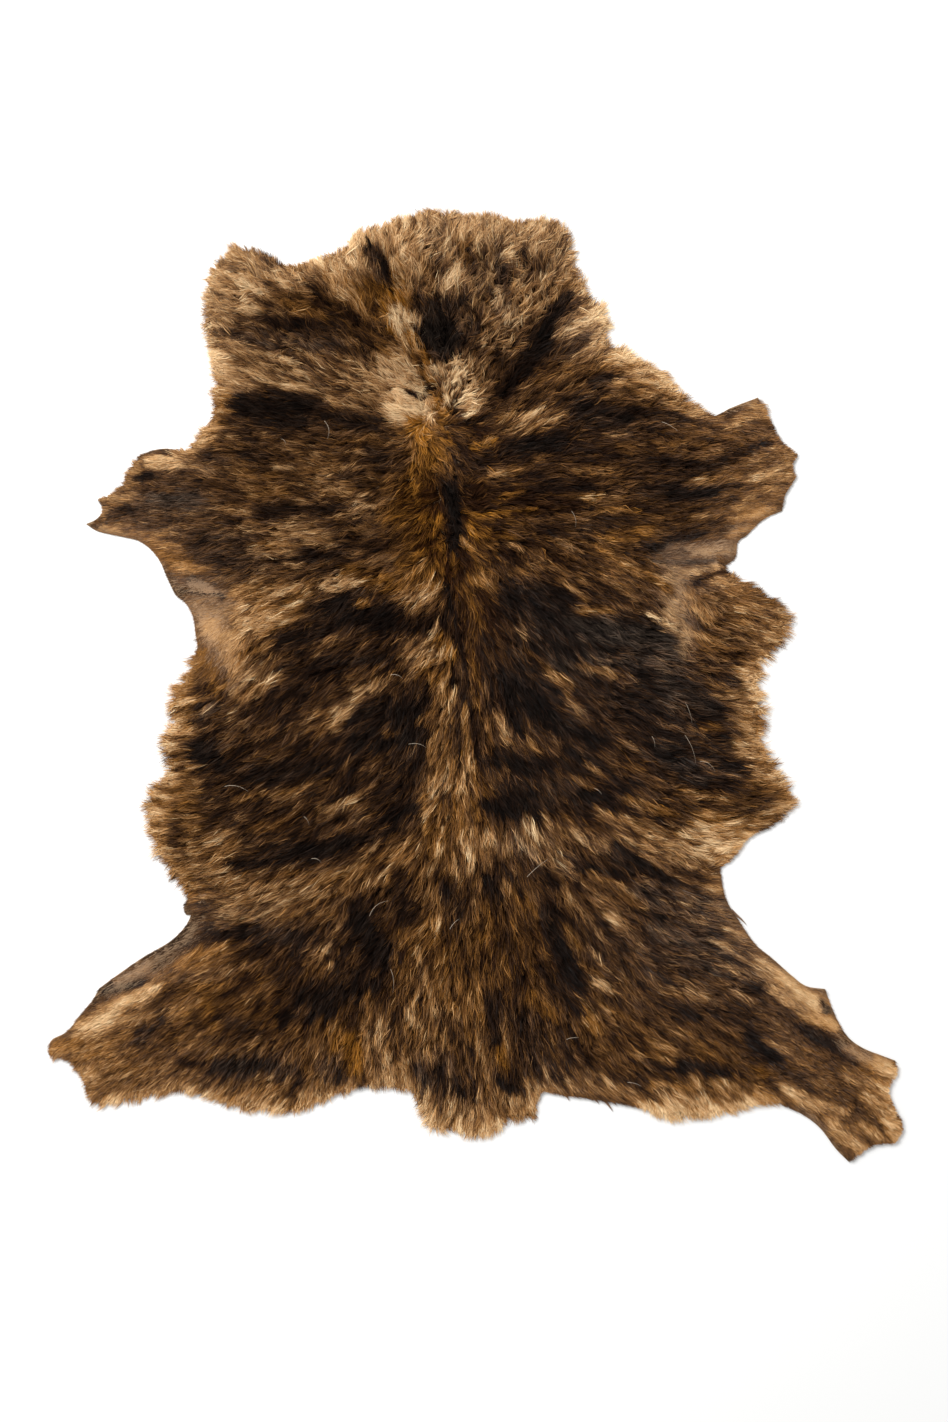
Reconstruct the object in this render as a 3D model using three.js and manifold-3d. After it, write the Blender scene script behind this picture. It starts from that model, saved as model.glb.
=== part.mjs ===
// A whole hair-on hide lying flat on its leather side: one lumpy slab of coat with locks of hair at its rim.
// Millimetres, +Z up. X runs across the hide, +Y towards the neck, and z = 0 is the surface it lies on.
import * as THREE from 'three';
import { mergeVertices } from 'three/addons/utils/BufferGeometryUtils.js';
import Module from 'manifold-3d';

// Places in the tables are measured on the cutting table: across from its left edge and along from its neck end,
// in millimetres. The hide's own origin lies at this place.
const BACKBONE_ACROSS = 475;
const MIDDLE_ALONG = 684;

// Leather and coat
const SKIN = 2.0; // thickness of the leather
const EDGE_COAT = 2.6; // coat on top of the leather where haired hide meets its rim
const RIM_WIDTH = 42; // how far in from its rim the coat reaches its full depth
const LEAST_COAT = 2; // depth left at the bottom of the deepest furrow
const CREASE_FADE = 14; // how far in from the rim a raised crease reaches its full height
const CREASE_LOSS = 0.7; // share of its height that a crease loses by its far end

// Lumps that the locks make in the coat
const LUMP_PITCH = 46;
const LUMP_LENGTH = 34;
const LUMP_WIDTH = 15;
const LUMP_RISE = 3.4;

// Locks of loose hair at the rim
const LOCK_STEP = 12; // distance between their roots
const LOCK_WIDTH = 12;
const LOCK_HEIGHT = 4.4;
const LOCK_ROOT = 9; // how deep a lock is rooted inside the rim
const LONG_LOCK = 20; // a lock longer than this swells before it tapers
const LONG_LOCK_SWELL = 0.72; // its width and height halfway along, as a share of those at its root
const LOCK_SPREAD = 0.25; // by how much of a radian a lock strays either way, and of its size it varies
const OUTWARD_PULL = 0.9; // how much a lock turns from the lie of the hair towards the way out
const LEAST_REACH = 3; // a rim whose hair reaches out less than this carries no locks

// Fineness of the solid
const GRID = 16; // pitch of the points that carry the upper surface
const RIM_STEP = 13; // longest straight step along a curved rim
const BLOCK_HALF = new THREE.Vector2(450, 500); // half the block of coat that the rim is cut from
const BLOCK_HEIGHT = 60;
const SEED = 11;

// The rim, clockwise as seen from above. Each stretch is one smooth run between two corners and ends where the next
// one starts. reach is how far the longest loose hair stands out past it, and bare is how wide the thinly haired
// leather margin along it is.
const POINT = ['across', 'along'];
const RIM = [
  { name: 'left side of the neck', reach: 9, bare: 0, points: table(POINT, [
    [186, 449], [202, 431], [211, 411], [213, 393], [213, 360], [207, 328], [206, 302], [209, 276],
    [221, 256], [238, 245],
  ]) },
  { name: 'neck edge, left half', reach: 5, bare: 0, points: table(POINT, [
    [238, 245], [262, 252], [284, 263], [302, 264], [324, 257], [347, 248],
  ]) },
  { name: 'neck edge, right half', reach: 5, bare: 0, points: table(POINT, [
    [347, 248], [351, 238], [376, 228], [402, 217], [434, 211], [462, 214], [490, 216], [518, 221],
    [546, 217], [563, 221],
  ]) },
  { name: 'right side of the neck', reach: 9, bare: 0, points: table(POINT, [
    [563, 221], [571, 242], [575, 264], [586, 284], [590, 299],
  ]) },
  { name: 'right throat', reach: 9, bare: 0, points: table(POINT, [
    [590, 299], [602, 306], [609, 325], [606, 341],
  ]) },
  { name: 'right shoulder', reach: 9, bare: 0, points: table(POINT, [
    [606, 341], [638, 357], [662, 371], [680, 393], [700, 409], [716, 414],
  ]) },
  { name: 'right foreleg, cut upper edge', reach: 0, bare: 8, points: table(POINT, [
    [716, 414], [758, 397],
  ]) },
  { name: 'right foreleg, upper end', reach: 2, bare: 3, points: table(POINT, [
    [758, 397], [768, 416], [780, 440],
  ]) },
  { name: 'right foreleg, tuft', reach: 3, bare: 0, points: table(POINT, [
    [780, 440], [799, 455],
  ]) },
  { name: 'right foreleg, end', reach: 2, bare: 2, points: table(POINT, [
    [799, 455], [792, 466], [796, 478],
  ]) },
  { name: 'right foreleg, torn corner', reach: 0, bare: 4, points: table(POINT, [
    [796, 478], [784, 497], [782, 511],
  ]) },
  { name: 'right foreleg, cut lower edge', reach: 0, bare: 16, points: table(POINT, [
    [782, 511], [764, 519], [745, 537],
  ]) },
  { name: 'right armpit', reach: 0, bare: 26, points: table(POINT, [
    [745, 537], [738, 541], [735, 560], [726, 567],
  ]) },
  { name: 'right chest', reach: 15, bare: 0, points: table(POINT, [
    [726, 567], [756, 580], [782, 599], [789, 621], [780, 643], [764, 661], [760, 688], [765, 713],
    [764, 736], [774, 762], [788, 784], [796, 805],
  ]) },
  { name: 'right flank tuft', reach: 6, bare: 0, points: table(POINT, [
    [796, 805], [778, 818], [777, 824],
  ]) },
  { name: 'right flank', reach: 3, bare: 4, points: table(POINT, [
    [777, 824], [746, 840], [733, 858], [720, 869],
  ]) },
  { name: 'right thigh, cut edge', reach: 0, bare: 8, points: table(POINT, [
    [720, 869], [725, 897], [739, 921], [755, 944], [773, 959], [791, 975], [806, 986], [825, 989],
  ]) },
  { name: 'right hind leg, outer edge', reach: 0, bare: 14, points: table(POINT, [
    [825, 989], [833, 1011], [847, 1036], [863, 1048], [896, 1060],
  ]) },
  { name: 'right hind foot', reach: 3, bare: 0, points: table(POINT, [
    [896, 1060], [897, 1074], [889, 1087], [893, 1104], [903, 1127], [896, 1143],
  ]) },
  { name: 'right hind foot, lower edge', reach: 0, bare: 0, points: table(POINT, [
    [896, 1143], [873, 1145], [857, 1155], [849, 1162],
  ]) },
  { name: 'right hind leg, cut inner edge', reach: 0, bare: 5, points: table(POINT, [
    [849, 1162], [836, 1149], [819, 1127], [800, 1113], [776, 1103],
  ]) },
  { name: 'right breech', reach: 8, bare: 0, points: table(POINT, [
    [776, 1103], [750, 1107], [722, 1114], [690, 1118], [662, 1118], [640, 1107],
  ]) },
  { name: 'rump, cut edge', reach: 0, bare: 3, points: table(POINT, [
    [640, 1107], [606, 1101], [572, 1096], [542, 1092],
  ]) },
  { name: 'tail, right side', reach: 4, bare: 0, points: table(POINT, [
    [542, 1092], [537, 1107], [539, 1122],
  ]) },
  { name: 'tail end', reach: 10, bare: 0, points: table(POINT, [
    [539, 1122], [514, 1119], [496, 1131], [479, 1137], [455, 1130], [432, 1131], [422, 1112], [416, 1096],
  ]) },
  { name: 'left breech', reach: 9, bare: 0, points: table(POINT, [
    [416, 1096], [402, 1089], [372, 1087], [343, 1092], [318, 1103], [298, 1112], [262, 1111], [228, 1105],
    [202, 1095], [172, 1093], [140, 1099], [104, 1106], [89, 1103],
  ]) },
  { name: 'left hind foot, lower edge', reach: 6, bare: 0, points: table(POINT, [
    [89, 1103], [83, 1082], [69, 1063], [47, 1056],
  ]) },
  { name: 'left hind foot, end', reach: 2, bare: 6, points: table(POINT, [
    [47, 1056], [50, 1040], [66, 1031], [79, 1015], [91, 1001], [99, 988],
  ]) },
  { name: 'left hind leg, cut edge', reach: 0, bare: 22, points: table(POINT, [
    [99, 988], [142, 958], [172, 940], [187, 924], [191, 915],
  ]) },
  { name: 'left thigh lip', reach: 0, bare: 18, points: table(POINT, [
    [191, 915], [185, 914], [183, 904], [187, 897],
  ]) },
  { name: 'left flank', reach: 15, bare: 0, points: table(POINT, [
    [187, 897], [179, 873], [160, 850], [150, 824], [148, 797], [165, 775], [164, 760], [157, 742],
  ]) },
  { name: 'left chest', reach: 14, bare: 0, points: table(POINT, [
    [157, 742], [176, 727], [174, 697], [189, 672], [198, 645],
  ]) },
  { name: 'left chest, bare', reach: 6, bare: 30, points: table(POINT, [
    [198, 645], [197, 617], [187, 602], [178, 597], [169, 583],
  ]) },
  { name: 'left foreleg, cut lower edge', reach: 0, bare: 10, points: table(POINT, [
    [169, 583], [158, 558], [141, 542], [118, 536], [97, 531], [86, 524],
  ]) },
  { name: 'left foreleg, end', reach: 0, bare: 3, points: table(POINT, [
    [86, 524], [97, 519], [103, 510], [96, 499],
  ]) },
  { name: 'left foreleg, upper end', reach: 5, bare: 0, points: table(POINT, [
    [96, 499], [120, 487], [130, 467], [140, 454],
  ]) },
  { name: 'left foreleg, cut upper edge', reach: 0, bare: 6, points: table(POINT, [
    [140, 454], [160, 449], [186, 449],
  ]) },
];

// How deep the lying coat is over the leather, and how far around each place that depth holds.
const COAT = table(['across', 'along', 'spread', 'depth'], [
  [430, 300, 110, 19], // neck
  [250, 320, 80, 15],
  [560, 330, 80, 17],
  [430, 410, 50, 12], // crown of the shoulders, where the hair parts
  [300, 500, 110, 14], // left shoulder
  [630, 490, 110, 14], // right shoulder
  [150, 500, 60, 7], // left foreleg
  [745, 480, 60, 7], // right foreleg
  [205, 610, 50, 4], // left armpit
  [690, 560, 45, 5], // right armpit
  [460, 620, 90, 15], // back
  [330, 720, 120, 17], // left side
  [620, 720, 120, 17], // right side
  [740, 640, 60, 15], // right chest
  [480, 860, 120, 16], // loin
  [220, 800, 70, 16], // left flank
  [720, 790, 70, 16], // right flank
  [480, 1010, 110, 18], // rump
  [300, 1010, 110, 14], // left thigh
  [660, 1010, 110, 14], // right thigh
  [480, 1110, 40, 14], // tail
  [130, 1020, 60, 6], // left hind leg
  [800, 1040, 60, 7], // right hind leg
  [870, 1090, 40, 6],
]);

// Which way the hair lies: right is its run across the hide, back its run towards the tail.
const LIE = table(['across', 'along', 'right', 'back'], [
  [240, 280, -0.9, -0.4], // neck
  [230, 340, -1.0, -0.1],
  [330, 360, -0.9, -0.5],
  [430, 240, 0.0, -1.0],
  [390, 300, -0.4, -0.9],
  [500, 270, 0.1, -1.0],
  [560, 240, 0.5, -0.9],
  [590, 320, 0.9, -0.3],
  [540, 370, 0.9, -0.4],
  [640, 375, 0.9, 0.3], // shoulders
  [620, 440, 1.0, 0.0],
  [760, 480, 1.0, -0.1],
  [690, 530, 1.0, -0.2],
  [560, 480, 1.0, 0.1],
  [250, 470, -1.0, -0.3],
  [140, 500, -1.0, 0.0],
  [200, 560, -1.0, 0.0],
  [330, 560, -1.0, 0.2],
  [455, 480, 0.0, 1.0], // backbone
  [460, 620, 0.0, 1.0],
  [475, 780, 0.0, 1.0],
  [480, 950, 0.0, 1.0],
  [370, 640, -0.9, 0.5], // left side
  [300, 760, -0.9, 0.5],
  [200, 720, -1.0, 0.2],
  [170, 810, -1.0, 0.0],
  [290, 860, -0.9, 0.5],
  [560, 620, 0.9, 0.4], // right side
  [760, 600, 1.0, 0.3],
  [740, 700, 1.0, 0.3],
  [770, 790, 1.0, 0.0],
  [640, 780, 0.9, 0.5],
  [730, 840, 1.0, 0.1],
  [400, 900, -0.5, 0.9], // loin
  [560, 900, 0.6, 0.8],
  [200, 960, -0.9, 0.5], // left thigh
  [120, 1060, -0.9, 0.5],
  [95, 1095, -0.7, 0.7],
  [250, 1080, -0.5, 0.9],
  [350, 1060, -0.3, 0.9],
  [430, 1110, -0.3, 1.0], // tail
  [530, 1110, 0.3, 1.0],
  [600, 1060, 0.7, 0.7], // right thigh
  [700, 1095, 0.6, 0.8],
  [770, 980, 0.9, 0.5],
  [860, 1080, 0.9, 0.5],
  [850, 1140, 0.6, 0.8],
]);
const LIE_BLEND = 20; // how far from its place a row of the table gives way to its neighbours

// Ridges (rise above zero) and troughs (below) in the lying hide: straight creases of this half width.
const CREASES = table(['fromAcross', 'fromAlong', 'toAcross', 'toAlong', 'width', 'rise'], [
  [180, 905, 262, 907, 12, 5.0], // lip where the flank folds over the thigh
  [190, 921, 262, 926, 10, -2.5],
  [172, 590, 262, 603, 11, 2.6], // creases that run in from the left armpit
  [190, 575, 300, 560, 16, 2.2],
  [728, 571, 655, 598, 13, -4.0], // slit between the right armpit and the chest
  [737, 556, 650, 560, 12, 2.4],
  [598, 302, 500, 385, 16, -4.5], // across the neck
  [345, 262, 400, 400, 20, -3.0],
  [230, 325, 360, 332, 16, -3.0],
  [455, 430, 470, 1010, 26, -2.4], // line of the backbone
  [150, 1030, 300, 960, 26, 3.0], // swell of each thigh
  [660, 1000, 860, 1090, 26, 3.0],
]);

// Shreds of leather left by the knife: thin points that stand out from a cut edge.
const SHREDS = table(['across', 'along', 'toAcross', 'toAlong', 'width'], [
  [733, 912, 747, 926, 4], // right thigh
  [565, 1090, 569, 1101, 5], // rump
  [590, 1093, 599, 1104, 6],
  [601, 1095, 613, 1112, 5],
  [607, 1096, 617, 1106, 4],
  [90, 1006, 76, 1019, 5], // left hind foot
]);

// Rows of bare numbers become rows with named columns.
function table(columns, rows) {
  return rows.map((row) => Object.fromEntries(columns.map((column, i) => [column, row[i]])));
}

// Numbers from 0 to 1 that come out the same on every run.
function seededRandom(seed) {
  const [factor, addend, modulus] = [1664525, 1013904223, 2 ** 32];
  let state = seed;
  return () => {
    state = (state * factor + addend) % modulus;
    return state / modulus;
  };
}

// A place on the cutting table in the hide's own frame.
function place(across, along) {
  return new THREE.Vector2(across - BACKBONE_ACROSS, MIDDLE_ALONG - along);
}

// From 0 to 1, level at both ends.
function smooth(t) {
  const x = THREE.MathUtils.clamp(t, 0, 1);
  return x * x * (3 - 2 * x);
}

// A bell that is 1 at zero and has all but gone two widths away.
function bell(distance, width) {
  return Math.exp(-((distance / width) ** 2));
}

// The rim as short straight steps, each with the reach and bare margin of its stretch.
function rimSteps() {
  const steps = [];
  for (const { points, reach, bare } of RIM) {
    const corners = points.map(({ across, along }) => {
      const { x, y } = place(across, along);
      return new THREE.Vector3(x, y, 0);
    });
    const curve = new THREE.CatmullRomCurve3(corners, false, 'centripetal');
    const count = Math.ceil(curve.getLength() / RIM_STEP);
    const spots = corners.length > 2 ? curve.getSpacedPoints(count) : corners;
    spots.slice(1).forEach((to, i) => {
      const from = spots[i];
      steps.push({ from: new THREE.Vector2(from.x, from.y), to: new THREE.Vector2(to.x, to.y), reach, bare });
    });
  }
  return steps;
}

const rim = rimSteps();

// How far a point lies from a straight step, and how far along the step that is, from 0 to 1.
function fromStep(point, from, to) {
  const run = to.clone().sub(from);
  const t = THREE.MathUtils.clamp(point.clone().sub(from).dot(run) / run.lengthSq(), 0, 1);
  return { distance: point.distanceTo(from.clone().addScaledVector(run, t)), t };
}

// How far a point lies from the rim, and the bare margin there, blended from the stretches around it.
function nearRim(point) {
  const blend = 4;
  let nearest = Infinity;
  let weights = 0;
  let bare = 0;
  for (const step of rim) {
    const { distance } = fromStep(point, step.from, step.to);
    const weight = 1 / (distance ** 2 + blend ** 2) ** 2;
    nearest = Math.min(nearest, distance);
    weights += weight;
    bare += weight * step.bare;
  }
  return { distance: nearest, bare: bare / weights };
}

function coatDepth(point) {
  const faint = 1e-6;
  let weights = 0;
  let depth = 0;
  for (const row of COAT) {
    const weight = bell(point.distanceTo(place(row.across, row.along)), row.spread) + faint;
    weights += weight;
    depth += weight * row.depth;
  }
  return depth / weights;
}

function hairLie(point) {
  const lie = new THREE.Vector2();
  for (const row of LIE) {
    const away = point.distanceTo(place(row.across, row.along));
    const weight = 1 / (away ** 2 + LIE_BLEND ** 2) ** 2;
    lie.add(new THREE.Vector2(row.right, -row.back).setLength(weight));
  }
  return lie.normalize();
}

// Lumps in the coat: one for each big lock, on a jittered lattice, drawn out along the lie of the hair.
function coatLumps() {
  const random = seededRandom(SEED);
  const jitter = () => (random() - 0.5) * LUMP_PITCH;
  const lumps = [];
  for (let x = -BLOCK_HALF.x; x < BLOCK_HALF.x; x += LUMP_PITCH) {
    for (let y = -BLOCK_HALF.y; y < BLOCK_HALF.y; y += LUMP_PITCH) {
      const centre = new THREE.Vector2(x + jitter(), y + jitter());
      lumps.push({ centre, lie: hairLie(centre), height: LUMP_RISE * (0.4 + random()) });
    }
  }
  return lumps;
}

const lumps = coatLumps();

function lumpRise(point) {
  let rise = -LUMP_RISE / 2;
  for (const { centre, lie, height } of lumps) {
    const away = point.clone().sub(centre);
    rise += height * bell(away.dot(lie), LUMP_LENGTH) * bell(away.cross(lie), LUMP_WIDTH);
  }
  return rise;
}

// How far the creases lift the leather at a point, and how far they sink the coat.
function creaseRise(point) {
  let rise = 0;
  for (const crease of CREASES) {
    const from = place(crease.fromAcross, crease.fromAlong);
    const to = place(crease.toAcross, crease.toAlong);
    const { distance, t } = fromStep(point, from, to);
    rise += crease.rise * bell(distance, crease.width) * (1 - CREASE_LOSS * t * t);
  }
  return { lift: Math.max(0, rise), sink: Math.max(0, -rise) };
}

// Height of the upper surface over the floor.
function topHeight(point) {
  const { distance, bare } = nearRim(point);
  const { lift, sink } = creaseRise(point);
  const inland = 2 * smooth(0.5 + (distance - bare) / (2 * RIM_WIDTH)) - 1;
  const haired = Math.max(0, inland);
  const edge = EDGE_COAT * smooth(1 - bare / CREASE_FADE);
  const coat = Math.max(LEAST_COAT, coatDepth(point) + lumpRise(point) - sink);
  return SKIN + lift * smooth(distance / CREASE_FADE) + THREE.MathUtils.lerp(edge, coat, haired);
}

// A closed block under the lumpy upper surface, wider than the hide on every side.
function coatBlock() {
  const rowPitch = GRID * Math.sin(Math.PI / 3);
  const columns = Math.ceil((2 * BLOCK_HALF.x) / GRID);
  const rows = Math.ceil((2 * BLOCK_HALF.y) / rowPitch);
  const index = (column, row) => row * (columns + 1) + column;
  const positions = [];
  const faces = [];
  for (let row = 0; row <= rows; row += 1) {
    for (let column = 0; column <= columns; column += 1) {
      const shift = row % 2 && column > 0 && column < columns ? GRID / 2 : 0;
      const point = new THREE.Vector2(column * GRID + shift, row * rowPitch).sub(BLOCK_HALF);
      positions.push(point.x, point.y, topHeight(point));
    }
  }
  for (let row = 0; row < rows; row += 1) {
    for (let column = 0; column < columns; column += 1) {
      const [a, b] = [index(column, row), index(column + 1, row)];
      const [c, d] = [index(column, row + 1), index(column + 1, row + 1)];
      faces.push(...(row % 2 ? [a, b, d, a, d, c] : [a, b, c, b, d, c]));
    }
  }
  const border = [];
  for (let column = 0; column < columns; column += 1) border.push(index(column, 0));
  for (let row = 0; row < rows; row += 1) border.push(index(columns, row));
  for (let column = columns; column > 0; column -= 1) border.push(index(column, rows));
  for (let row = rows; row > 0; row -= 1) border.push(index(0, row));
  const below = positions.length / 3;
  border.forEach((above) => positions.push(positions[3 * above], positions[3 * above + 1], 0));
  const middle = positions.length / 3;
  positions.push(0, 0, 0);
  border.forEach((above, i) => {
    const next = (i + 1) % border.length;
    faces.push(above, below + next, border[next], above, below + i, below + next);
    faces.push(below + i, middle, below + next);
  });
  return meshOf(positions, faces);
}

// The rim extruded straight up, higher than the coat.
function rimPrism() {
  const shape = new THREE.Shape(rim.map((step) => step.from).reverse());
  return new THREE.ExtrudeGeometry(shape, { depth: BLOCK_HEIGHT, bevelEnabled: false });
}

// One three-sided lock that lies flat: broad at its root, with a ridge that runs down to its tip.
function lockGeometry(root, tip, width, height) {
  const run = tip.clone().sub(root);
  const side = new THREE.Vector2(-run.y, run.x).setLength(width / 2);
  const ring = (centre, share) => [
    centre.x + side.x * share, centre.y + side.y * share, 0,
    centre.x - side.x * share, centre.y - side.y * share, 0,
    centre.x, centre.y, height * share,
  ];
  const positions = ring(root, 1);
  if (run.length() > LONG_LOCK) {
    positions.push(...ring(root.clone().addScaledVector(run, 0.5), LONG_LOCK_SWELL));
  }
  const end = positions.length / 3;
  positions.push(tip.x, tip.y, 0);
  const faces = [0, 1, 2];
  for (let corner = 0; corner < 3; corner += 1) {
    const next = (corner + 1) % 3;
    if (end > 3) {
      faces.push(corner, 3 + corner, 3 + next, corner, 3 + next, next);
    }
    faces.push(end - 3 + corner, end, end - 3 + next);
  }
  return meshOf(positions, faces);
}

// Locks along every haired stretch of the rim.
function rimLocks() {
  const random = seededRandom(SEED + 1);
  const stray = () => LOCK_SPREAD * (2 * random() - 1);
  const locks = [];
  let sinceLast = 0;
  for (const { from, to, reach } of rim) {
    const run = to.clone().sub(from);
    const outward = new THREE.Vector2(-run.y, run.x).normalize();
    sinceLast = reach < LEAST_REACH ? 0 : sinceLast + run.length();
    for (; sinceLast > LOCK_STEP; sinceLast -= LOCK_STEP) {
      const spot = from.clone().addScaledVector(run, random());
      const direction = hairLie(spot).addScaledVector(outward, OUTWARD_PULL).normalize();
      direction.rotateAround(new THREE.Vector2(), stray());
      const root = spot.clone().addScaledVector(direction, -LOCK_ROOT);
      const tip = spot.clone().addScaledVector(direction, reach * (1 + stray()));
      locks.push(lockGeometry(root, tip, LOCK_WIDTH * (1 + stray()), LOCK_HEIGHT));
    }
  }
  return locks;
}

function shreds() {
  return SHREDS.map(({ across, along, toAcross, toAlong, width }) => (
    lockGeometry(place(across, along), place(toAcross, toAlong), width, SKIN)
  ));
}

function meshOf(positions, faces) {
  const geometry = new THREE.BufferGeometry();
  geometry.setAttribute('position', new THREE.Float32BufferAttribute(positions, 3));
  geometry.setIndex(faces);
  return geometry;
}

const wasm = await Module();
wasm.setup();

function solid(geometry) {
  geometry.deleteAttribute('normal');
  geometry.deleteAttribute('uv');
  const merged = mergeVertices(geometry);
  const vertProperties = new Float32Array(merged.attributes.position.array);
  const triVerts = new Uint32Array(merged.index.array);
  return new wasm.Manifold(new wasm.Mesh({ numProp: 3, vertProperties, triVerts }));
}

// The coat cut to the rim, with the locks and shreds fused to it.
function peltGeometry() {
  const slab = solid(coatBlock()).intersect(solid(rimPrism()));
  const body = [...rimLocks(), ...shreds()].reduce((sum, lock) => sum.add(solid(lock)), slab);
  const { vertProperties, triVerts } = body.getMesh();
  return meshOf(vertProperties, [...triVerts]);
}

const coatMaterial = new THREE.MeshStandardMaterial({ color: '#5b3f28', roughness: 0.85, metalness: 0 });
const pelt = new THREE.Mesh(peltGeometry(), coatMaterial);
pelt.name = 'pelt';

const hide = new THREE.Group();
hide.add(pelt);

export default hide;
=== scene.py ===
import math
from collections import namedtuple
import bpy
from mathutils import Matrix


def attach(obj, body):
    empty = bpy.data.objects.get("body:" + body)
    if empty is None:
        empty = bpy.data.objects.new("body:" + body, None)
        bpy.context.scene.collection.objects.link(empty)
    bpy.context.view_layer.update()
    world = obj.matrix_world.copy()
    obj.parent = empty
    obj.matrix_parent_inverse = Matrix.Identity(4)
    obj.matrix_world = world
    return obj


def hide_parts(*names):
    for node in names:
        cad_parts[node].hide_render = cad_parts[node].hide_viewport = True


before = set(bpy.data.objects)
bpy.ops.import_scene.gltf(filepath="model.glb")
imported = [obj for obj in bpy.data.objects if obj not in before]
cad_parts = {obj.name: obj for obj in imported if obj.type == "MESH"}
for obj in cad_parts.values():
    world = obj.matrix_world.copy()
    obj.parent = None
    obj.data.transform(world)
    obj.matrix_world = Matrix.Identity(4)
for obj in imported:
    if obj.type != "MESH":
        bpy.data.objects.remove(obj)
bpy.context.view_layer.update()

from types import SimpleNamespace

import bpy
import numpy as np
from mathutils import Vector
from mathutils.geometry import delaunay_2d_cdt

bl_info = {
    "name": "Hair-on hide",
    "version": (1, 0, 0),
    "blender": (4, 5, 0),
    "location": "3D View > Sidebar > Hide",
    "description": "A whole hair-on hide laid flat: leather, brindled coat, rim hair and a studio stage",
    "category": "Object",
}

MM = 0.001

# Places in the tables are measured on the cutting table, in millimetres: across from its left edge and
# along from its neck end. The hide's own origin lies at this place.
BACKBONE_ACROSS = 475
MIDDLE_ALONG = 684


def table(columns, rows):
    """Rows of bare numbers become one array for each named column."""
    return SimpleNamespace(**dict(zip(columns, np.array(rows, dtype=float).T)), rows=len(rows))


Stretch = namedtuple("Stretch", ["name", "reach", "bare", "points"])


def hide_x(across):
    return (across - BACKBONE_ACROSS) * MM


def hide_y(along):
    return (MIDDLE_ALONG - along) * MM


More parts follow.
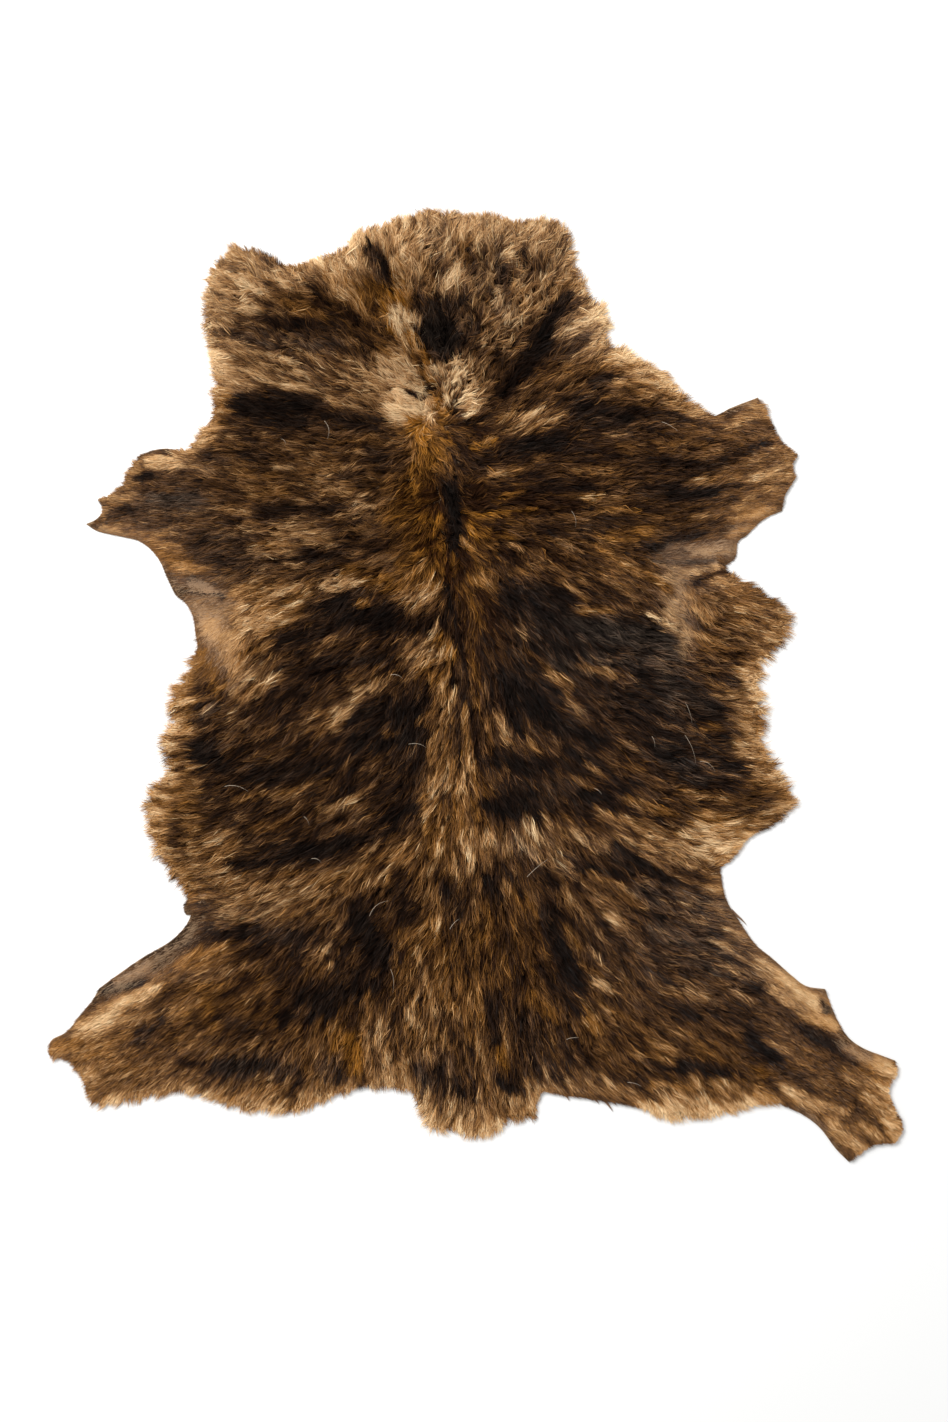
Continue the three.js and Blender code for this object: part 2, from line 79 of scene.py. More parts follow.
# The rim, clockwise as seen from above. Each stretch is one smooth run between two corners and ends where
# the next one starts. reach is how far its longest loose hair stands out past it, and bare is how wide the
# thinly haired leather margin along it is.
RIM = [
    Stretch("left side of the neck", 11, 0, [
        (186, 449), (202, 431), (211, 411), (213, 393), (213, 360), (207, 328), (206, 302), (209, 276),
        (221, 256), (238, 245)]),
    Stretch("neck edge, left half", 7, 0, [
        (238, 245), (262, 252), (284, 263), (302, 264), (324, 257), (347, 248)]),
    Stretch("neck edge, right half", 8, 0, [
        (347, 248), (351, 238), (376, 228), (402, 217), (434, 211), (462, 214), (490, 216), (518, 221),
        (546, 217), (563, 221)]),
    Stretch("right side of the neck", 11, 0, [(563, 221), (571, 242), (575, 264), (586, 284), (590, 299)]),
    Stretch("right throat", 11, 0, [(590, 299), (602, 306), (609, 325), (606, 341)]),
    Stretch("right shoulder", 10, 0, [
        (606, 341), (638, 357), (662, 371), (680, 393), (700, 409), (716, 414)]),
    Stretch("right foreleg, cut upper edge", 0, 8, [(716, 414), (758, 397)]),
    Stretch("right foreleg, upper end", 2, 3, [(758, 397), (768, 416), (780, 440)]),
    Stretch("right foreleg, tuft", 3, 0, [(780, 440), (799, 455)]),
    Stretch("right foreleg, end", 2, 2, [(799, 455), (792, 466), (796, 478)]),
    Stretch("right foreleg, torn corner", 0, 4, [(796, 478), (784, 497), (782, 511)]),
    Stretch("right foreleg, cut lower edge", 0, 16, [(782, 511), (764, 519), (745, 537)]),
    Stretch("right armpit", 0, 26, [(745, 537), (738, 541), (735, 560), (726, 567)]),
    Stretch("right chest, upper end", 8, 0, [(726, 567), (741, 578), (757, 588), (781, 604)]),
    Stretch("right chest", 15, 0, [
        (781, 604), (788, 622), (781, 643), (763, 661), (760, 688), (763, 713), (761, 736),
        (771, 762), (787, 784), (797, 806)]),
    Stretch("right flank tuft", 9, 0, [(797, 806), (779, 819), (777, 824)]),
    Stretch("right flank", 3, 4, [(777, 824), (746, 840), (733, 858), (720, 869)]),
    Stretch("right thigh, cut edge", 0, 8, [
        (720, 869), (725, 897), (739, 921), (755, 944), (773, 959), (791, 975), (806, 986), (825, 989)]),
    Stretch("right hind leg, outer edge", 0, 14, [
        (825, 989), (833, 1011), (847, 1036), (863, 1048), (896, 1060)]),
    Stretch("right hind foot", 3, 0, [
        (896, 1060), (897, 1074), (889, 1087), (893, 1104), (903, 1127), (896, 1143)]),
    Stretch("right hind foot, lower edge", 0, 0, [(896, 1143), (873, 1145), (857, 1155), (849, 1162)]),
    Stretch("right hind leg, cut inner edge", 0, 5, [
        (849, 1162), (836, 1149), (819, 1127), (800, 1113), (776, 1103)]),
    Stretch("right breech", 8, 0, [
        (776, 1103), (750, 1107), (722, 1114), (690, 1118), (662, 1118), (640, 1107)]),
    Stretch("rump, cut edge", 0, 3, [(640, 1107), (606, 1101), (572, 1096), (542, 1092)]),
    Stretch("tail, right side", 4, 0, [(542, 1092), (537, 1107), (539, 1122)]),
    Stretch("tail end", 10, 0, [
        (539, 1122), (514, 1119), (496, 1131), (479, 1137), (455, 1130), (432, 1131), (422, 1112),
        (416, 1096)]),
    Stretch("left breech", 9, 0, [
        (416, 1096), (402, 1089), (372, 1087), (343, 1092), (318, 1103), (298, 1112), (262, 1111),
        (228, 1105), (202, 1095), (172, 1093), (140, 1099), (104, 1106), (89, 1103)]),
    Stretch("left hind foot, lower edge", 6, 0, [(89, 1103), (83, 1082), (69, 1063), (47, 1056)]),
    Stretch("left hind foot, end", 2, 6, [
        (47, 1056), (50, 1040), (66, 1031), (79, 1015), (91, 1001), (99, 988)]),
    Stretch("left hind leg, cut edge", 0, 22, [(99, 988), (142, 958), (172, 940), (187, 924), (191, 915)]),
    Stretch("left thigh lip", 0, 18, [(191, 915), (185, 914), (183, 904), (187, 897)]),
    Stretch("left flank", 15, 0, [
        (187, 897), (173, 875), (157, 851), (150, 824), (149, 797), (165, 775), (168, 760), (158, 742)]),
    Stretch("left chest", 14, 0, [(157, 742), (174, 725), (172, 697), (186, 672), (195, 645)]),
    Stretch("left chest, bare", 2, 30, [(195, 645), (192, 617), (184, 603), (176, 597), (169, 583)]),
    Stretch("left foreleg, cut lower edge", 0, 10, [
        (169, 583), (158, 558), (141, 542), (118, 536), (97, 531), (86, 524)]),
    Stretch("left foreleg, end", 0, 3, [(86, 524), (97, 519), (103, 510), (96, 499)]),
    Stretch("left foreleg, upper end", 5, 0, [(96, 499), (120, 487), (130, 467), (140, 454)]),
    Stretch("left foreleg, cut upper edge", 0, 6, [(140, 454), (160, 449), (186, 449)]),
]

# How deep the lying coat is over the leather, and how far around each place that depth holds.
COAT = table(["across", "along", "spread", "depth"], [
    (430, 300, 110, 19), (250, 320, 80, 15), (560, 330, 80, 17),  # neck
    (430, 410, 50, 12), (300, 500, 110, 14), (630, 490, 110, 14),  # shoulders
    (150, 500, 60, 7), (745, 480, 60, 7), (205, 610, 50, 4), (690, 560, 45, 5),  # forelegs, armpits
    (460, 620, 90, 15), (330, 720, 120, 17), (620, 720, 120, 17), (740, 640, 60, 15),  # back and sides
    (480, 860, 120, 16), (220, 800, 70, 16), (720, 790, 70, 16), (480, 1010, 110, 18),  # loin, flanks, rump
    (300, 1010, 110, 14), (660, 1010, 110, 14), (480, 1110, 40, 14),  # thighs, tail
    (130, 1020, 60, 6), (800, 1040, 60, 7), (870, 1090, 40, 6),  # hind legs
])

# Which way the hair lies: right is its run across the hide and back its run towards the tail, together
# shorter than 1 where it stands up.
LIE = table(["across", "along", "right", "back"], [
    # neck
    (225, 270, -0.7, -0.4), (240, 330, -0.9, -0.1), (290, 285, -0.5, -0.4), (310, 320, -0.7, -0.3),
    (250, 365, -0.9, -0.35), (330, 372, -0.85, -0.45), (340, 270, -0.3, -0.6), (380, 250, -0.3, -0.7),
    (385, 300, -0.45, -0.6), (430, 240, 0.0, -0.65), (440, 280, 0.3, -0.6), (440, 325, 0.0, -0.55),
    (480, 245, 0.05, -0.6), (500, 290, 0.1, -0.45), (490, 330, 0.15, -0.45), (530, 240, 0.1, -0.6),
    (560, 250, 0.5, -0.6), (535, 300, 0.3, -0.5), (590, 325, 0.8, -0.4), (545, 350, 0.7, -0.5),
    # crown, where the hair parts
    (398, 362, -0.7, -0.5), (400, 412, -0.9, -0.25), (424, 375, -0.3, -0.5), (462, 385, 0.25, -0.6),
    (480, 400, 0.5, -0.5), (395, 440, -0.9, 0.1), (427, 450, 0.0, 0.6), (450, 440, 0.5, 0.4),
    (488, 446, 0.8, -0.4), (520, 424, 0.85, -0.5), (512, 472, 0.95, -0.2), (380, 476, -0.9, 0.1),
    # shoulders and forelegs
    (570, 380, 0.85, -0.4), (640, 375, 0.8, 0.1), (690, 415, 0.95, 0.1), (620, 440, 1.0, -0.1),
    (760, 430, 0.95, 0.1), (760, 480, 1.0, -0.1), (690, 530, 1.0, -0.2), (560, 500, 1.0, 0.05),
    (640, 520, 1.0, 0.1), (250, 410, -1.0, -0.15), (215, 420, -0.9, 0.2), (250, 470, -1.0, -0.2),
    (320, 450, -1.0, -0.1), (140, 500, -1.0, 0.0), (200, 560, -1.0, 0.1), (300, 530, -1.0, 0.05),
    (370, 560, -0.9, 0.25),
    # backbone
    (405, 470, -0.75, 0.5), (440, 468, 0.6, 0.6), (445, 495, 0.0, 0.6), (418, 505, -0.8, 0.4),
    (480, 485, 0.9, 0.0), (490, 515, 0.95, 0.05), (454, 530, 0.1, 0.6), (410, 540, -0.9, 0.3),
    (478, 550, 0.8, 0.45), (454, 570, 0.0, 0.85), (424, 585, -0.55, 0.8), (488, 588, 0.65, 0.7),
    (400, 600, -0.8, 0.55), (460, 620, 0.1, 0.95), (492, 625, 0.5, 0.85), (425, 640, -0.7, 0.65),
    (480, 660, 0.25, 0.95), (450, 690, -0.3, 0.9), (520, 640, 0.5, 0.8), (425, 690, -0.5, 0.8),
    (470, 720, 0.0, 1.0), (435, 740, -0.4, 0.9), (502, 730, 0.5, 0.85), (525, 745, 0.65, 0.7),
    (458, 780, -0.05, 0.95), (425, 790, -0.55, 0.8), (490, 785, 0.45, 0.85), (462, 830, 0.0, 0.95),
    (405, 850, -0.7, 0.65), (436, 860, -0.35, 0.9), (475, 860, -0.1, 0.95), (505, 845, 0.1, 0.95),
    (532, 850, 0.5, 0.8), (478, 920, 0.0, 0.9), (480, 970, 0.0, 0.95), (478, 1040, 0.0, 1.0),
    # left side
    (370, 640, -0.85, 0.5), (290, 600, -0.9, 0.35), (230, 600, -0.95, 0.3), (220, 660, -0.55, 0.8),
    (260, 690, -0.75, 0.6), (350, 700, -0.8, 0.55), (300, 760, -0.85, 0.5), (245, 730, -0.8, 0.5),
    (185, 690, -0.9, 0.25), (175, 750, -1.0, 0.05), (170, 810, -1.0, 0.0), (240, 830, -0.9, 0.35),
    (330, 850, -0.85, 0.5), (290, 885, -0.85, 0.5), (220, 900, -0.95, 0.2), (390, 780, -0.7, 0.6),
    # right side
    (560, 580, 0.85, 0.5), (620, 590, 0.85, 0.5), (530, 650, 0.7, 0.65), (560, 690, 0.75, 0.6),
    (640, 650, 0.95, 0.25), (690, 620, 0.7, 0.6), (740, 600, 0.9, 0.35), (770, 640, 0.95, 0.2),
    (740, 690, 0.95, 0.25), (500, 720, 0.4, 0.85), (620, 730, 0.85, 0.45), (540, 770, 0.65, 0.7),
    (750, 750, 0.95, 0.15), (775, 795, 1.0, -0.05), (690, 800, 0.95, 0.2), (600, 800, 0.8, 0.55),
    (640, 850, 0.8, 0.55), (735, 840, 0.95, -0.1), (560, 850, 0.6, 0.75),
    # loin
    (400, 900, -0.5, 0.8), (360, 930, -0.6, 0.7), (430, 940, -0.3, 0.9), (520, 890, 0.3, 0.9),
    (560, 920, 0.5, 0.8), (620, 910, 0.75, 0.6), (700, 930, 0.95, 0.3), (600, 980, 0.6, 0.7),
    # left thigh and breech
    (200, 960, -0.85, 0.5), (250, 1000, -0.8, 0.6), (320, 960, -0.5, 0.8), (130, 1000, -0.9, 0.5),
    (120, 1060, -0.9, 0.45), (95, 1095, -0.7, 0.65), (160, 1080, -0.75, 0.6), (260, 1090, -0.6, 0.75),
    (330, 1050, -0.4, 0.85), (385, 1060, 0.0, 0.9), (410, 1000, -0.2, 0.9),
    # tail
    (430, 1110, -0.2, 0.95), (530, 1110, 0.3, 0.95), (500, 1050, 0.1, 0.95),
    # right thigh, breech and hind leg
    (560, 1040, 0.4, 0.85), (600, 1080, 0.7, 0.65), (650, 1045, 0.8, 0.5), (700, 1100, 0.6, 0.75),
    (770, 980, 0.9, 0.5), (780, 1045, 0.85, 0.5), (860, 1075, 0.85, 0.5), (850, 1130, 0.7, 0.7),
])
LIE_BLEND = 15  # how far from its place a row of the table gives way to its neighbours

# Patches where the hair is short and sparse over the skin, besides the bare margins of the rim: strokes of
# this half width, with a share from 0 for full coat to 1 for bare.
THIN = table(["across", "along", "to_across", "to_along", "width", "share"], [
    (185, 594, 236, 600, 13, 0.85), (214, 612, 226, 664, 22, 0.85),  # left armpit
    (232, 672, 240, 694, 12, 0.5),
    (664, 552, 736, 549, 12, 0.95), (676, 566, 682, 640, 16, 0.75),  # right armpit
    (104, 990, 170, 958, 13, 0.6), (790, 988, 838, 1020, 12, 0.6),  # hind legs
    (392, 398, 426, 408, 14, 0.35), (386, 364, 412, 372, 12, 0.3),  # crown
])

# Ridges (rise above zero) and troughs (below) in the lying hide: straight creases of this half width.
CREASES = table(["across", "along", "to_across", "to_along", "width", "rise"], [
    (180, 905, 262, 907, 12, 5.0),  # lip where the flank folds over the thigh
    (190, 921, 262, 926, 10, -2.5),
    (172, 590, 262, 603, 11, 2.6),  # creases that run in from the left armpit
    (190, 575, 300, 560, 16, 2.2),
    (728, 571, 655, 598, 13, -4.0),  # slit between the right armpit and the chest
    (737, 556, 650, 560, 12, 2.4),
    (598, 302, 500, 385, 16, -4.5),  # across the neck
    (345, 262, 400, 400, 20, -3.0),
    (230, 325, 360, 332, 16, -3.0),
    (455, 430, 470, 1010, 26, -2.4),  # line of the backbone
    (150, 1030, 300, 960, 26, 3.0),  # swell of each thigh
    (660, 1000, 860, 1090, 26, 3.0),
])

# Markings of the coat, with a few strokes of painted shade in its folds, laid over each other in this order:
# soft strokes with a half width, a tone in hundredths from 0 for near-black to 100 for cream, and a warmth
# from -100 for grey to 100 for rust.
MARKS = table(["across", "along", "to_across", "to_along", "width", "tone", "warmth"], [
    # ground of each part
    (235, 275, 330, 275, 34, 56, 10), (390, 235, 555, 235, 30, 64, 5), (400, 280, 540, 290, 34, 50, 5),
    (235, 370, 370, 385, 26, 50, 15), (530, 380, 640, 390, 26, 34, 20), (140, 510, 200, 510, 40, 42, 0),
    (240, 480, 400, 470, 40, 35, 20), (240, 540, 400, 530, 36, 36, 10), (520, 470, 700, 470, 50, 19, 25),
    (520, 550, 640, 560, 40, 24, 25), (720, 470, 780, 470, 40, 50, 20), (260, 640, 400, 680, 50, 20, 15),
    (230, 760, 400, 780, 60, 18, 15), (540, 650, 700, 700, 60, 14, 0), (540, 780, 720, 780, 50, 19, 15),
    (730, 620, 770, 620, 34, 48, 25), (400, 870, 560, 870, 40, 27, 30), (560, 860, 660, 920, 40, 30, 20),
    (200, 980, 330, 1010, 50, 24, 35), (420, 960, 560, 960, 46, 19, 45), (600, 960, 740, 1000, 50, 29, 10),
    (420, 1060, 540, 1060, 36, 24, 25), (580, 1050, 720, 1060, 36, 25, 30),
    (800, 1060, 870, 1090, 34, 42, 20), (160, 1060, 330, 1080, 26, 42, 20), (90, 1060, 130, 1080, 26, 45, 30),
    # loose hair of the rim
    (204, 290, 207, 392, 11, 100, 0), (352, 238, 420, 214, 9, 76, 10), (574, 240, 606, 326, 8, 70, 5),
    (610, 350, 690, 398, 14, 70, 20), (744, 570, 786, 600, 10, 70, 20), (766, 652, 766, 706, 9, 72, 40),
    (764, 716, 792, 800, 11, 66, 35), (152, 745, 146, 846, 14, 70, 35), (90, 1102, 400, 1096, 10, 72, 30),
    (402, 1062, 420, 1112, 11, 76, 30), (430, 1132, 500, 1134, 10, 72, 30),
    # neck, left lobe
    (222, 268, 246, 262, 14, 62, 5), (246, 285, 248, 308, 13, 78, 10), (276, 262, 290, 278, 9, 42, 10),
    (306, 266, 330, 266, 10, 66, 10), (225, 300, 226, 345, 12, 64, 5), (286, 300, 306, 312, 8, 36, 60),
    (316, 290, 326, 315, 10, 12, 20), (262, 325, 335, 322, 8, 5, 10), (242, 326, 262, 325, 7, 20, 10),
    (270, 298, 296, 292, 8, 40, 20), (345, 282, 360, 300, 12, 44, 40), (332, 268, 362, 260, 12, 70, 10),
    (335, 305, 385, 342, 13, 16, 30), (235, 340, 335, 346, 8, 38, -5), (250, 352, 300, 366, 4, 74, 10),
    (300, 352, 350, 376, 4, 70, 15), (228, 366, 262, 378, 6, 76, 10), (270, 380, 330, 398, 3, 56, 20),
    (322, 362, 364, 384, 3, 66, 10), (214, 356, 236, 386, 12, 86, 5), (270, 368, 320, 386, 4, 24, 10),
    (290, 358, 345, 380, 3, 28, 10), (346, 374, 372, 390, 5, 40, 10), (376, 346, 388, 352, 6, 12, 30),
    # neck, middle
    (380, 236, 394, 256, 8, 72, 10), (371, 246, 382, 266, 6, 8, 0), (382, 264, 392, 286, 6, 4, 0),
    (400, 238, 406, 258, 10, 68, 15), (352, 246, 360, 256, 6, 74, 10), (400, 268, 402, 288, 8, 70, 50),
    (378, 290, 408, 305, 9, 46, 90), (397, 314, 403, 330, 9, 100, 0), (384, 308, 390, 330, 5, 34, 100),
    (408, 332, 415, 346, 6, 60, 70), (366, 285, 378, 296, 6, 22, 60), (420, 305, 465, 302, 10, 15, 0),
    (432, 330, 452, 334, 17, 3, -20), (440, 345, 448, 356, 9, 4, -20), (424, 230, 440, 236, 6, 50, -15),
    (440, 240, 448, 262, 10, 66, 5), (442, 290, 458, 270, 6, 84, 0), (462, 240, 470, 262, 8, 44, 30),
    (470, 252, 477, 272, 4, 20, 0), (420, 258, 430, 290, 9, 50, 20), (497, 242, 503, 290, 6, 26, -10),
    (510, 250, 516, 266, 5, 68, 0), (524, 256, 536, 278, 6, 36, 0), (516, 240, 528, 250, 9, 66, 0),
    (538, 270, 548, 300, 8, 60, 10), (520, 226, 560, 226, 10, 64, 5), (552, 250, 568, 276, 11, 52, 5),
    (556, 290, 570, 284, 8, 50, 30), (486, 285, 500, 300, 10, 46, 0), (500, 300, 512, 322, 9, 66, -10),
    (520, 290, 542, 316, 11, 62, 20), (472, 328, 482, 346, 8, 20, 0), (488, 344, 514, 346, 11, 56, 10),
    # The near-black run from (572, 292) to (503, 394) is painted shade, laid along the crease across the
    # neck.
    (480, 305, 494, 322, 8, 56, 10), (466, 368, 484, 364, 6, 60, 10), (572, 292, 556, 306, 6, 8, 0),
    (558, 306, 544, 338, 10, 3, 0), (546, 340, 526, 366, 12, 1, 0), (526, 366, 503, 394, 9, 3, 10),
    (570, 330, 604, 316, 12, 76, -5), (568, 346, 604, 336, 8, 68, -5), (545, 372, 590, 374, 9, 20, 30),
    (556, 380, 574, 384, 5, 48, 30), (602, 358, 622, 366, 8, 64, 30), (568, 354, 584, 344, 7, 20, 0),
    (596, 384, 616, 376, 7, 18, 0),
    # crown, where the hair parts
    (386, 358, 410, 370, 12, 90, 10), (380, 374, 404, 384, 8, 86, 15), (393, 409, 426, 414, 16, 100, 5),
    (398, 392, 424, 392, 9, 94, 10), (424, 352, 431, 384, 5, 36, 80), (410, 350, 424, 372, 4, 40, 50),
    (456, 368, 468, 396, 14, 93, 5), (434, 370, 448, 386, 8, 94, 10), (434, 398, 446, 414, 7, 60, 80),
    (470, 398, 476, 408, 5, 84, 0), (415, 428, 430, 450, 14, 46, 100), (424, 430, 427, 448, 6, 60, 90),
    (444, 426, 450, 444, 6, 36, 90), (458, 426, 484, 434, 8, 12, 40), (476, 450, 494, 440, 4, 42, 80),
    (466, 466, 498, 472, 9, 12, 10), (410, 470, 432, 466, 6, 34, 70), (466, 416, 476, 424, 4, 10, 10),
    (432, 448, 444, 462, 7, 22, 80), (458, 442, 472, 456, 7, 8, 30), (408, 393, 420, 397, 2.4, 3, 0),
    (420, 397, 432, 390, 2.2, 3, 0), (452, 380, 458, 392, 2.0, 10, 0), (458, 392, 453, 402, 2.0, 8, 0),
    (453, 402, 456, 416, 2.4, 6, 0), (464, 376, 461, 392, 1.8, 20, 10), (440, 380, 450, 384, 2.0, 20, 40),
    # left of the shoulders
    (243, 405, 310, 408, 15, 3, 0), (252, 422, 300, 424, 8, 7, 0), (315, 416, 374, 423, 9, 10, 5),
    (224, 392, 222, 420, 6, 50, 45), (206, 432, 214, 424, 8, 62, 30), (196, 444, 206, 440, 6, 66, 20),
    (206, 447, 244, 448, 7, 44, 20), (283, 446, 316, 450, 5, 50, 15), (272, 468, 293, 468, 4, 66, 10),
    (240, 474, 280, 478, 5, 50, 30), (308, 470, 340, 468, 4, 40, 25), (252, 494, 290, 492, 7, 60, 35),
    (330, 480, 360, 474, 6, 16, 10), (318, 489, 346, 491, 6, 52, 25), (356, 505, 376, 506, 5, 88, 0),
    (256, 512, 336, 511, 7, 10, 5), (276, 531, 318, 535, 8, 64, 15), (312, 541, 328, 544, 5, 58, 15),
    (278, 548, 296, 548, 5, 56, 20), (300, 557, 336, 554, 7, 6, 5), (356, 446, 396, 470, 9, 14, 5),
    (380, 498, 404, 498, 5, 8, 10), (384, 518, 412, 522, 8, 36, 50), (362, 548, 398, 544, 8, 20, 20),
    (206, 455, 222, 462, 6, 30, 0), (340, 446, 372, 440, 6, 30, 30), (330, 520, 352, 524, 5, 40, 20),
    (340, 536, 360, 532, 5, 30, 20),
    # left foreleg
    (150, 462, 172, 464, 6, 84, 5), (178, 452, 196, 450, 5, 60, 15), (138, 478, 154, 475, 4, 5, 0),
    (154, 540, 180, 552, 8, 58, 20), (133, 462, 131, 484, 6, 54, 20), (100, 497, 124, 492, 6, 50, 10),
    (106, 513, 134, 512, 5, 20, 0), (170, 466, 206, 472, 7, 50, 0), (150, 498, 195, 500, 9, 28, -20),
    (140, 488, 172, 490, 4, 42, 10), (98, 528, 136, 534, 5, 62, 10), (138, 540, 160, 560, 7, 46, 30),
    (150, 550, 190, 566, 8, 42, 40), (174, 570, 206, 570, 7, 50, 35), (205, 556, 250, 560, 12, 33, 0),
    (206, 538, 246, 540, 6, 34, 0), (258, 546, 284, 546, 4, 50, 35), (186, 476, 206, 480, 6, 36, 10),
    (180, 524, 212, 522, 5, 42, 10),
    # left armpit and the tan band behind it
    (212, 602, 222, 650, 26, 55, 5), (234, 650, 240, 690, 12, 70, 25), (264, 600, 264, 628, 14, 68, 30),
    (176, 580, 216, 582, 7, 40, 0), (180, 592, 228, 597, 2.4, 20, 0), (190, 608, 226, 612, 9, 56, 0),
    (206, 628, 232, 640, 9, 66, 20), (236, 592, 290, 586, 7, 64, 30), (244, 624, 286, 614, 10, 74, 40),
    (290, 600, 306, 592, 5, 46, 35), (327, 584, 342, 580, 8, 87, 10), (240, 654, 262, 648, 5, 46, 40),
    (250, 692, 272, 676, 7, 56, 30), (190, 640, 200, 668, 8, 42, 30),
    # left side
    (325, 612, 392, 618, 14, 4, 0), (282, 642, 330, 630, 8, 10, 5), (336, 598, 362, 602, 7, 8, 0),
    (353, 606, 368, 605, 3, 36, 50), (402, 628, 446, 624, 9, 4, 10), (350, 572, 396, 588, 10, 24, 60),
    (402, 568, 414, 576, 5, 34, 70), (406, 600, 436, 578, 9, 74, 15), (424, 600, 440, 582, 6, 88, 10),
    (404, 606, 420, 608, 5, 56, 30), (410, 656, 436, 638, 8, 74, 15), (416, 670, 440, 656, 6, 78, 20),
    (388, 664, 412, 648, 7, 56, 20), (323, 644, 340, 640, 5, 30, 20), (350, 642, 384, 636, 5, 16, 10),
    (322, 662, 390, 660, 7, 18, 0), (246, 676, 276, 670, 7, 60, 10), (224, 690, 242, 684, 7, 50, 0),
    (285, 668, 340, 676, 12, 12, 10), (280, 700, 300, 690, 10, 10, 10), (358, 690, 384, 684, 6, 66, 20),
    (392, 676, 412, 676, 5, 46, 20), (334, 714, 350, 705, 7, 94, 5), (346, 702, 366, 692, 5, 70, 15),
    (305, 735, 340, 722, 5, 46, 35), (312, 716, 330, 712, 4, 36, 30), (350, 718, 430, 710, 12, 5, 0),
    (356, 742, 426, 738, 14, 5, 0), (200, 752, 226, 764, 12, 5, -10), (226, 736, 248, 722, 6, 38, 10),
    (262, 730, 280, 720, 7, 18, 20), (228, 752, 246, 776, 8, 28, 10), (288, 746, 308, 734, 7, 34, 15),
    (384, 735, 398, 732, 3, 32, 30), (250, 775, 340, 764, 9, 10, 0), (274, 796, 292, 792, 5, 38, 30),
    (300, 787, 328, 785, 4, 34, 20), (322, 808, 352, 804, 5, 52, 30), (360, 790, 367, 787, 4, 38, 60),
    (250, 832, 292, 820, 6, 32, 35), (238, 800, 262, 792, 5, 40, 30), (208, 842, 234, 828, 8, 62, 30),
    (206, 862, 228, 850, 8, 60, 30), (352, 828, 380, 820, 6, 26, 10), (340, 798, 374, 782, 5, 10, 10),
    (266, 784, 292, 778, 6, 6, 0), (222, 700, 238, 724, 7, 44, 10), (262, 852, 300, 846, 8, 16, 0),
    (302, 850, 346, 846, 8, 0, 0), (346, 842, 366, 838, 6, 5, 0), (232, 864, 298, 862, 5, 10, 0),
    (380, 790, 412, 780, 10, 14, 10), (394, 816, 414, 810, 8, 5, 0), (340, 770, 380, 762, 5, 24, 20),
    (388, 762, 418, 758, 6, 16, 10), (270, 702, 280, 724, 7, 8, 10),
    # left flank, rim
    (200, 655, 216, 694, 8, 40, 50), (188, 672, 176, 712, 10, 54, 40), (162, 734, 186, 728, 8, 66, 40),
    (166, 748, 174, 776, 11, 84, 35), (154, 816, 162, 842, 9, 64, 40), (178, 790, 186, 812, 7, 32, 45),
    (190, 790, 196, 820, 6, 30, 30), (172, 862, 188, 880, 9, 50, 35), (162, 800, 168, 814, 6, 36, 40),
    (188, 842, 200, 852, 6, 56, 30), (190, 884, 204, 898, 9, 54, 40), (200, 716, 214, 704, 7, 28, -10),
    (198, 862, 234, 884, 13, 60, 25),
    # tan band over the left thigh
    (380, 858, 420, 850, 6, 46, 40), (300, 888, 368, 866, 8, 54, 35), (320, 898, 372, 880, 6, 50, 30),
    (218, 900, 310, 892, 9, 58, 20), (262, 906, 284, 902, 4, 72, 20), (222, 914, 256, 912, 7, 50, 0),
    (270, 878, 300, 874, 5, 34, 30), (240, 876, 258, 872, 5, 38, 20), (186, 906, 218, 908, 6, 30, 10),
    (366, 842, 400, 828, 6, 12, 10), (316, 896, 330, 890, 5, 68, 20),
    # left thigh
    (212, 926, 254, 931, 8, 10, 0), (256, 936, 312, 946, 12, 14, 0), (184, 958, 222, 947, 7, 60, 45),
    (176, 966, 206, 962, 5, 52, 40), (146, 950, 194, 926, 7, 24, 15), (314, 948, 330, 966, 8, 52, 25),
    (318, 950, 330, 948, 4, 70, 10), (314, 918, 346, 910, 6, 36, 30), (276, 918, 300, 912, 5, 38, 30),
    (358, 918, 384, 958, 14, 4, 0), (300, 996, 376, 990, 14, 8, 5), (286, 1016, 330, 1008, 9, 8, 0),
    (200, 986, 222, 984, 7, 36, 50), (166, 1016, 196, 1000, 10, 48, 30), (206, 1000, 214, 1026, 6, 36, 60),
    (240, 996, 270, 990, 6, 34, 30), (225, 1020, 262, 1034, 7, 18, 10), (330, 980, 360, 970, 6, 12, 10),
    (216, 960, 250, 968, 5, 30, 30), (364, 1000, 384, 992, 4, 30, 40),
    # left hind leg
    (140, 968, 186, 940, 11, 20, 15), (262, 952, 276, 984, 9, 12, 20), (250, 958, 296, 972, 7, 16, 20),
    (110, 980, 146, 966, 6, 42, 10), (102, 990, 140, 984, 4, 8, 0), (116, 1008, 152, 990, 7, 82, 10),
    (84, 1030, 130, 1008, 13, 84, 25), (136, 1042, 160, 1020, 7, 20, 0), (56, 1048, 76, 1044, 9, 60, 45),
    (80, 1052, 104, 1048, 8, 56, 40), (110, 1044, 130, 1034, 7, 50, 30), (84, 1074, 130, 1092, 10, 52, 25),
    (100, 1082, 126, 1078, 5, 64, 20), (150, 1078, 200, 1074, 10, 50, 20), (140, 1058, 176, 1056, 6, 34, 20),
    (182, 1060, 204, 1062, 4, 14, 20), (170, 1036, 196, 1044, 6, 36, 30),
    # left breech
    (222, 1066, 272, 1066, 10, 16, -10), (280, 1072, 336, 1070, 9, 20, 0), (222, 1098, 310, 1104, 8, 58, 35),
    (262, 1090, 300, 1092, 5, 42, 30), (350, 1036, 356, 1068, 9, 36, 100), (334, 1044, 342, 1036, 6, 40, 70),
    (378, 1032, 386, 1078, 12, 66, 20), (324, 1086, 400, 1084, 5, 60, 30), (316, 1034, 338, 1030, 6, 40, 50),
    (366, 1024, 380, 1016, 6, 40, 30), (300, 1040, 316, 1034, 5, 28, 20),
    # backbone
